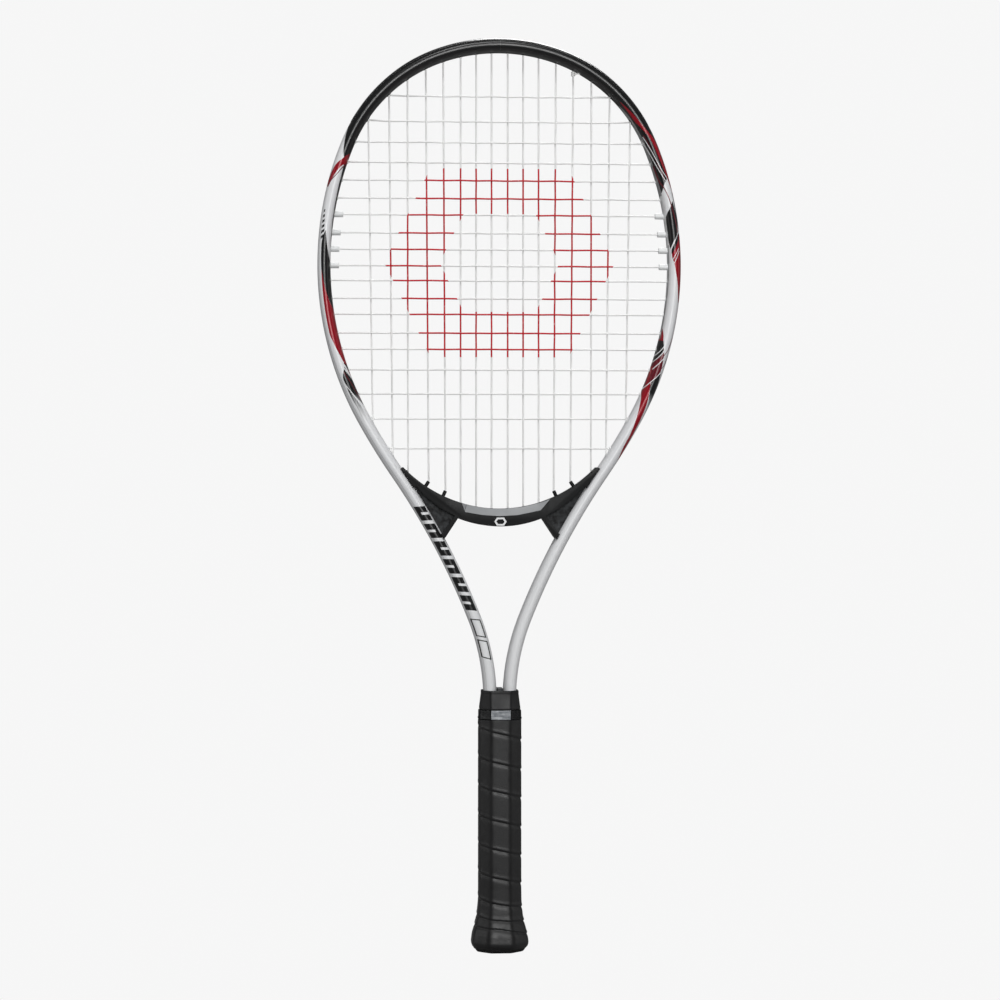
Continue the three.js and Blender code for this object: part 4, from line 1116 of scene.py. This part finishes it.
def cut(piece, verts, faces):
    """Cuts a closed shell out of a piece."""
    cutter = closed_piece("cutter", verts, faces, piece.data.materials[0], smooth=False)
    modifier = piece.modifiers.new("cut", "BOOLEAN")
    modifier.object = cutter
    modifier.operation = "DIFFERENCE"
    modifier.solver = "EXACT"
    apply_modifiers(piece)
    bpy.data.objects.remove(cutter)


def apply_modifiers(piece):
    bpy.context.view_layer.update()
    evaluated = piece.evaluated_get(bpy.context.evaluated_depsgraph_get())
    mesh = bpy.data.meshes.new_from_object(evaluated)
    piece.modifiers.clear()
    old = piece.data
    piece.data = mesh
    bpy.data.meshes.remove(old)


def soften(piece, width):
    """Rounds the sharp edges of a piece."""
    modifier = piece.modifiers.new("soften", "BEVEL")
    modifier.width = width * MM
    modifier.segments = 3
    modifier.limit_method = "ANGLE"
    modifier.angle_limit = 30 * DEGREE
    modifier.harden_normals = False
    apply_modifiers(piece)


EDGE_ROUNDING = 0.7
SHARP_ANGLE = 28

# The chamfer's upward faces are coloured light grey as a painted highlight: its ends, and the least area
# in square metres of a face that has it.
HIGHLIGHT_LEFT_X, HIGHLIGHT_RIGHT_X = -37, 48
HIGHLIGHT_LEAST_AREA = 2e-6

# Angles along the bridge, and how far its chamfer has run out there.
CHAMFER_COURSE = [(-18.5, 5.5), (-14.5, 0), (-7, 0), (0, 0), (7, 0), (16.5, 0), (26, 5.5)]


def throat_bridge(materials):
    outline = bridge_outline()
    verts, faces = prism(outline, -BRIDGE_HALF_DEPTH, BRIDGE_HALF_DEPTH)
    piece = closed_piece("throat_bridge_body", verts, faces, materials["bridge"], smooth=False)
    for face in (-1, 1):
        points, sections = [], []
        for angle, shift in CHAMFER_COURSE:
            centre, inward = bridge_place(angle * DEGREE, 0)
            points.append((centre, -inward))
            section = np.array([(5.2 + shift, 100.5), (10.2 + shift, 109.6), (16, 109.6), (16, 100.5)])
            section[:, 0] *= face
            sections.append(section)
        cut(piece, *sweep(points, sections))
    lower_rim = (GUSSET_OUTER[0] + 3.2, GUSSET_OUTER[1] + 2.2)
    pocket = [lower_rim, (34.9, 332.9), (45.6, 338.3), (57.1, 347.4), (64.5, 355.5)]
    pocket += shaft_line(BRIDGE_SEAT - 2, lower_rim[1], 353)
    for side in (-1, 1):
        for face in (-1, 1):
            outline = [(side * x, z) for x, z in pocket]
            cut(piece, *prism(outline, face * WEB_HALF_DEPTH, face * 12))
    soften(piece, EDGE_ROUNDING)
    piece.data.materials.append(materials["bridge_web"])
    piece.data.materials.append(materials["painted_highlight_chamfer"])
    for polygon in piece.data.polygons:
        tilted = polygon.normal.z > 0.12 and abs(polygon.normal.y) > 0.15
        along = HIGHLIGHT_LEFT_X * MM < polygon.center.x < HIGHLIGHT_RIGHT_X * MM
        if abs(abs(polygon.center.y) - WEB_HALF_DEPTH * MM) < 0.1 * MM:
            polygon.material_index = 1
        # Faces tilted upwards along the chamfer get the light grey painted highlight.
        elif tilted and along and polygon.area > HIGHLIGHT_LEAST_AREA:
            polygon.material_index = 2
    piece.data.shade_smooth()
    piece.data.set_sharp_from_angle(angle=SHARP_ANGLE * DEGREE)
    return piece


def hexagon(half_width, half_height, centre_z):
    corners = [(1, 0), (0.6, 1), (-0.6, 1), (-1, 0), (-0.6, -1), (0.6, -1)]
    return [(x * half_width, centre_z + z * half_height) for x, z in corners]


MARK_RISE = 3.7
MARK_OUTER = (4.7, 3.1)
MARK_INNER = (3.1, 1.8)


def bridge_mark(materials):
    """A small plain hollow hexagon printed on the front of the bridge."""
    centre_z = BRIDGE_FOOT_Z + MARK_RISE
    outer, inner = hexagon(*MARK_OUTER, centre_z), hexagon(*MARK_INNER, centre_z)
    rings = []
    for line, y in ((outer, 0.1), (outer, -0.12), (inner, -0.12), (inner, 0.1)):
        rings.append([(x, -BRIDGE_HALF_DEPTH + y, z) for x, z in line])
    verts = np.array(rings).reshape(-1, 3)
    faces = grid_faces(4, 6, close_rows=True)
    return closed_piece("bridge_mark", verts, faces, materials["print"], smooth=False)


# ---- Handle ----
ANGLES = around(160)
SLEEVE_SHARPNESS = 46
SLEEVE_STEP = 0.2


def ring(width, depth, cut_size, sharpness=SLEEVE_SHARPNESS):
    """Radius of a round-cornered octagon at each angle."""
    diagonal = (width / 2 + depth / 2 - cut_size) / math.sqrt(2)
    reaches = [width / 2, diagonal, depth / 2, diagonal] * 2
    total = np.zeros_like(ANGLES)
    for k, reach in enumerate(reaches):
        facing = np.maximum(np.cos(ANGLES - k * math.pi / 4), 0)
        total += (facing / reach) ** sharpness
    return total ** (-1 / sharpness)


def stacked_rings(levels, radii):
    """Rings at their levels as one closed shell, whose last ring meets its first."""
    rows = []
    for z, radius in zip(levels, radii):
        height = np.full(len(ANGLES), z)
        rows.append(np.column_stack([radius * np.cos(ANGLES), radius * np.sin(ANGLES), height]))
    return np.vstack(rows), grid_faces(len(rows), len(ANGLES), close_rows=True)


def sized(levels, stations):
    """Width, depth and cut at each level, smoothly between stations of (z, width, depth, cut)."""
    heights, *columns = np.transpose(stations)
    kernel = np.hanning(9)
    kernel /= kernel.sum()
    padded = [np.pad(np.interp(levels, heights, column), 4, mode="edge") for column in columns]
    return [np.convolve(row, kernel, mode="valid") for row in padded]


WRAP_SHARPNESS = 22
WRAP_STEP = 0.42
WRAP_BORE = 0.9
FLARE_BORE_TOP = 14.0
WRAP_EASE = 0.2
SEAM_DEPTH = 0.65
SEAM_FADE = (8, 12)
SEAM_SPREAD_UP = 0.5
SEAM_SPREAD_DOWN = 1.5
SWELL_HEIGHT = 0.18
SWELL_PLACE = 1.6
SWELL_SPREAD = 1.2
SEAM_HEIGHTS = [-26, -4, 18.2, 24.5, 36.5, 56.0, 77.6, 99.6, 121.9, 143.7, 166.5, 189]


def grip_tape(materials):
    levels = np.arange(*heights_of("grip_wrap"), WRAP_STEP)
    stations = [
        (2.2, 38.6, 36.2, 10.7), (3.2, 41.0, 38.6, 11.4), (4.6, 43.4, 41.0, 12.1),
        (7.2, 44.3, 41.9, 12.3), (13, 42.8, 40.4, 11.9), (19.5, 39.2, 37.1, 10.9),
        (27.7, 35.6, 33.6, 9.9), (38, 33.6, 31.8, 9.3), (48, 33.3, 31.5, 9.25), (180, 33.3, 31.5, 9.25),
    ]
    seams = np.array(SEAM_HEIGHTS, float)
    order = np.arange(len(seams))
    turned = (np.mod(ANGLES + math.pi, 2 * math.pi) - math.pi + math.pi / 2) / (2 * math.pi)
    rows = []
    for z, width, depth, cut_size in zip(levels, *sized(levels, stations)):
        below = np.floor(np.interp(z, seams, order) + turned)
        up = z - np.interp(below - turned, order, seams)
        down = np.interp(below + 1 - turned, order, seams) - z
        edges = np.maximum(np.exp(-(up / SEAM_SPREAD_UP) ** 2), np.exp(-(down / SEAM_SPREAD_DOWN) ** 1.6))
        groove = -np.interp(z, SEAM_FADE, (0, SEAM_DEPTH)) * edges
        swell = SWELL_HEIGHT * np.exp(-((up - SWELL_PLACE) / SWELL_SPREAD) ** 2)
        rows.append(ring(width, depth, cut_size, WRAP_SHARPNESS) - WRAP_EASE + groove + swell)
    # The inner wall is straight down to the flare, and opens out only round the butt cap.
    heights = [*levels, levels[-1], FLARE_BORE_TOP, levels[0]]
    rows += [WRAP_BORE * rows[-1], WRAP_BORE * rows[-1], WRAP_BORE * rows[0]]
    return closed_piece("grip_tape", *stacked_rings(heights, rows), materials["grip"])


def octagonal_sleeve(name, outside, inside, material):
    """A sleeve with rounded octagonal walls from (z, width, depth, cut) stations."""
    levels = np.arange(outside[0][0], outside[-1][0] + 1e-6, SLEEVE_STEP)
    rows = []
    for wall, order in ((outside, levels), (inside, levels[::-1])):
        heights, *columns = np.transpose(wall)
        rows += [ring(*(np.interp(z, heights, column) for column in columns)) for z in order]
    verts, faces = stacked_rings([*levels, *levels[::-1]], rows)
    return closed_piece(name, verts, faces, material)


def collar(materials):
    z0, z1 = heights_of("collar")
    outside = [
        (z0, 30.4, 28.6, 7.6), (z0 + 0.4, 31.1, 29.3, 7.8), (z0 + 1.2, 31.1, 29.3, 7.8),
        (z1 - 2.6, 28.3, 26.5, 6.35), (z1 - 2.2, 28.5, 26.7, 6.4), (z1 - 0.5, 28.3, 26.5, 6.3),
        (z1, 27.4, 25.6, 6.1),
    ]
    inside = [(z0, 29.2, 27.4, 7.0), (z1, 26.7, 24.9, 5.6)]
    return octagonal_sleeve("rubber_collar", outside, inside, materials["collar"])


def finishing_band(materials):
    z0, z1 = heights_of("finishing_tape")
    outside = [
        (z0, 32.9, 31.1, 9.0), (z0 + 0.3, 33.3, 31.5, 9.1), (z0 + 1.1, 33.2, 31.4, 9.1),
        (z0 + 1.7, 32.6, 30.8, 8.9), (z1 - 0.6, 32.4, 30.6, 8.9), (z1, 31.8, 30.0, 8.7),
    ]
    inside = [(z0, 30.1, 28.3, 8.3), (z1, 30.1, 28.3, 8.3)]
    return octagonal_sleeve("finishing_band", outside, inside, materials["tape"])


def butt_end(materials):
    """The cap's visible ring and foot: it shows below the wrap and round the end plate."""
    outside = [
        (0, 34.0, 31.8, 9.4), (0.2, 34.9, 32.7, 9.6), (0.8, 36.2, 34.0, 10.0), (1.6, 37.5, 35.3, 10.4),
        (2.2, 38.2, 36.0, 10.6), (2.6, 36.4, 34.2, 10.0), (12, 36.0, 33.8, 10.0),
    ]
    inside = [(0, 24.6, 22.6, 6.9), (0.4, 24.0, 22.0, 6.7), (12, 24.0, 22.0, 6.7)]
    return octagonal_sleeve("butt_end", outside, inside, materials["butt"])


def butt_door(materials):
    z0 = heights_of("butt_plate")[0]
    levels = [z0 + 2.4, z0 + 0.4, z0 + 0.1, z0, z0, z0 + 0.5, z0 + 0.5, z0 + 2.4]
    scales = [1.0, 1.0, 0.985, 0.96, 0.62, 0.56, 0.02, 0.02]
    bundle = Bundle()
    bundle.add(*stacked_rings(levels, [ring(23.4, 21.4, 6.5) * scale for scale in scales]))
    for side in (-1, 1):
        x = side * 9.6
        tongue = [(x - 0.8, z0 + 1.9), (x + 0.8, z0 + 1.9), (x + 0.8, z0 + 7.6),
                  (x + side * 1.1, z0 + 8.2), (x, z0 + 8.9), (x - 0.8, z0 + 8.9)]
        bundle.add(*prism(tongue, -4, 4))
    return bundle.piece("butt_door", materials["butt"])


# ---- Stage ----
BACKGROUND = 0.925
STUDIO_DIMNESS = 0.15
FLOOR_HALF_SIZE = 30
FLOOR_Z = -0.0005
LIGHT_TARGET = (0, 0, 0.4)
LIGHT_DISTANCE = 2.3


def seen_or_lighting(tree, seen, lighting, target):
    """Sends one shader to the camera and another to every other ray."""
    blend = tree.nodes.new("ShaderNodeMixShader")
    rays = tree.nodes.new("ShaderNodeLightPath")
    tree.links.new(rays.outputs["Is Camera Ray"], blend.inputs[0])
    tree.links.new(lighting, blend.inputs[1])
    tree.links.new(seen, blend.inputs[2])
    tree.links.new(blend.outputs[0], target)


def make_world():
    world = bpy.data.worlds.new("studio")
    bpy.context.scene.world = world
    world.use_nodes = True
    tree = world.node_tree
    lighting = tree.nodes["Background"]
    lighting.inputs[0].default_value = grey(STUDIO_DIMNESS)
    seen = tree.nodes.new("ShaderNodeBackground")
    seen.inputs[0].default_value = grey(BACKGROUND)
    seen_or_lighting(tree, seen.outputs[0], lighting.outputs[0], tree.nodes["World Output"].inputs[0])


def make_floor():
    half = FLOOR_HALF_SIZE
    corners = [(x * half, y * half, FLOOR_Z) for x, y in ((-1, -1), (1, -1), (1, 1), (-1, 1))]
    shader = Shader("studio_floor")
    shader.finish(shader.mix(shader.noise(3.0), grey(0.3), grey(0.27)), 0.9)
    glow = shader.node("ShaderNodeEmission")
    glow.inputs[0].default_value = grey(BACKGROUND)
    output = shader.tree.nodes["Material Output"]
    seen_or_lighting(shader.tree, glow.outputs[0], shader.surface.outputs[0], output.inputs[0])
    new_piece("studio_floor", corners, [(0, 1, 2, 3)], shader.material, scale=1.0)


def soft_box(name, azimuth, elevation, size, power):
    """A soft light aimed at the middle of the racket."""
    light = bpy.data.objects.new(name, bpy.data.lights.new(name, "AREA"))
    light.data.shape = "RECTANGLE"
    light.data.size, light.data.size_y = size
    light.data.energy = power
    stand_off(light, LIGHT_TARGET, azimuth, elevation, LIGHT_DISTANCE)


def make_stage():
    bpy.context.scene.view_settings.view_transform = "Standard"
    make_world()
    make_floor()
    soft_box("key", 4, 12, (0.6, 0.9), 27)
    soft_box("top", -8, 64, (0.9, 0.25), 20)
    soft_box("side_left", -88, 8, (0.3, 1.8), 7)
    soft_box("side_right", 88, 8, (0.25, 1.8), 5)
    soft_box("back", 165, 48, (0.9, 0.9), 26)


# ---- Assembly ----
def place_piece(piece, body, slot, *nodes):
    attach(piece, body)
    if nodes:
        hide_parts(*nodes)
    return piece


def repaint_cad(node, material):
    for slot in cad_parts[node].material_slots:
        slot.material = material


make_camera()
materials = make_materials()
place_piece(frame_skin(materials), "racket", "frame_paint", "frame_tube")
place_piece(bumper(materials), "racket", "bumper_black", "bumper_guard")
place_piece(side_grommets(-1, materials), "racket", "grommet_white", "grommet_strip_left")
place_piece(side_grommets(1, materials), "racket", "grommet_white", "grommet_strip_right")
place_piece(throat_bridge(materials), "racket", "bridge_black", "throat_bridge")
place_piece(bridge_mark(materials), "racket", "bridge_black")
place_piece(bridge_grommets(materials), "racket", "bridge_black", "bridge_grommet_strip")
place_piece(main_strings(materials), "racket", "string", "main_string")
place_piece(cross_strings(materials), "racket", "string", "cross_string")
grip = place_piece(grip_tape(materials), "racket", "grip_wrap", "grip_wrap")
# The tape's light front field is a painted reflection.
place_piece(finishing_band(materials), "racket", "tape_silver", "finishing_tape")
place_piece(collar(materials), "collar", "collar_rubber", "collar")
place_piece(butt_end(materials), "racket", "butt_plastic", "butt_cap")
place_piece(butt_door(materials), "butt_plate", "butt_plastic", "butt_plate")
for node in ("pallet_front", "pallet_back", "shaft_spacer"):
    repaint_cad(node, materials["pallet"])
for node in ("butt_staple_left", "butt_staple_right", "butt_staple_front", "butt_staple_back"):
    repaint_cad(node, materials["staple"])
make_stage()
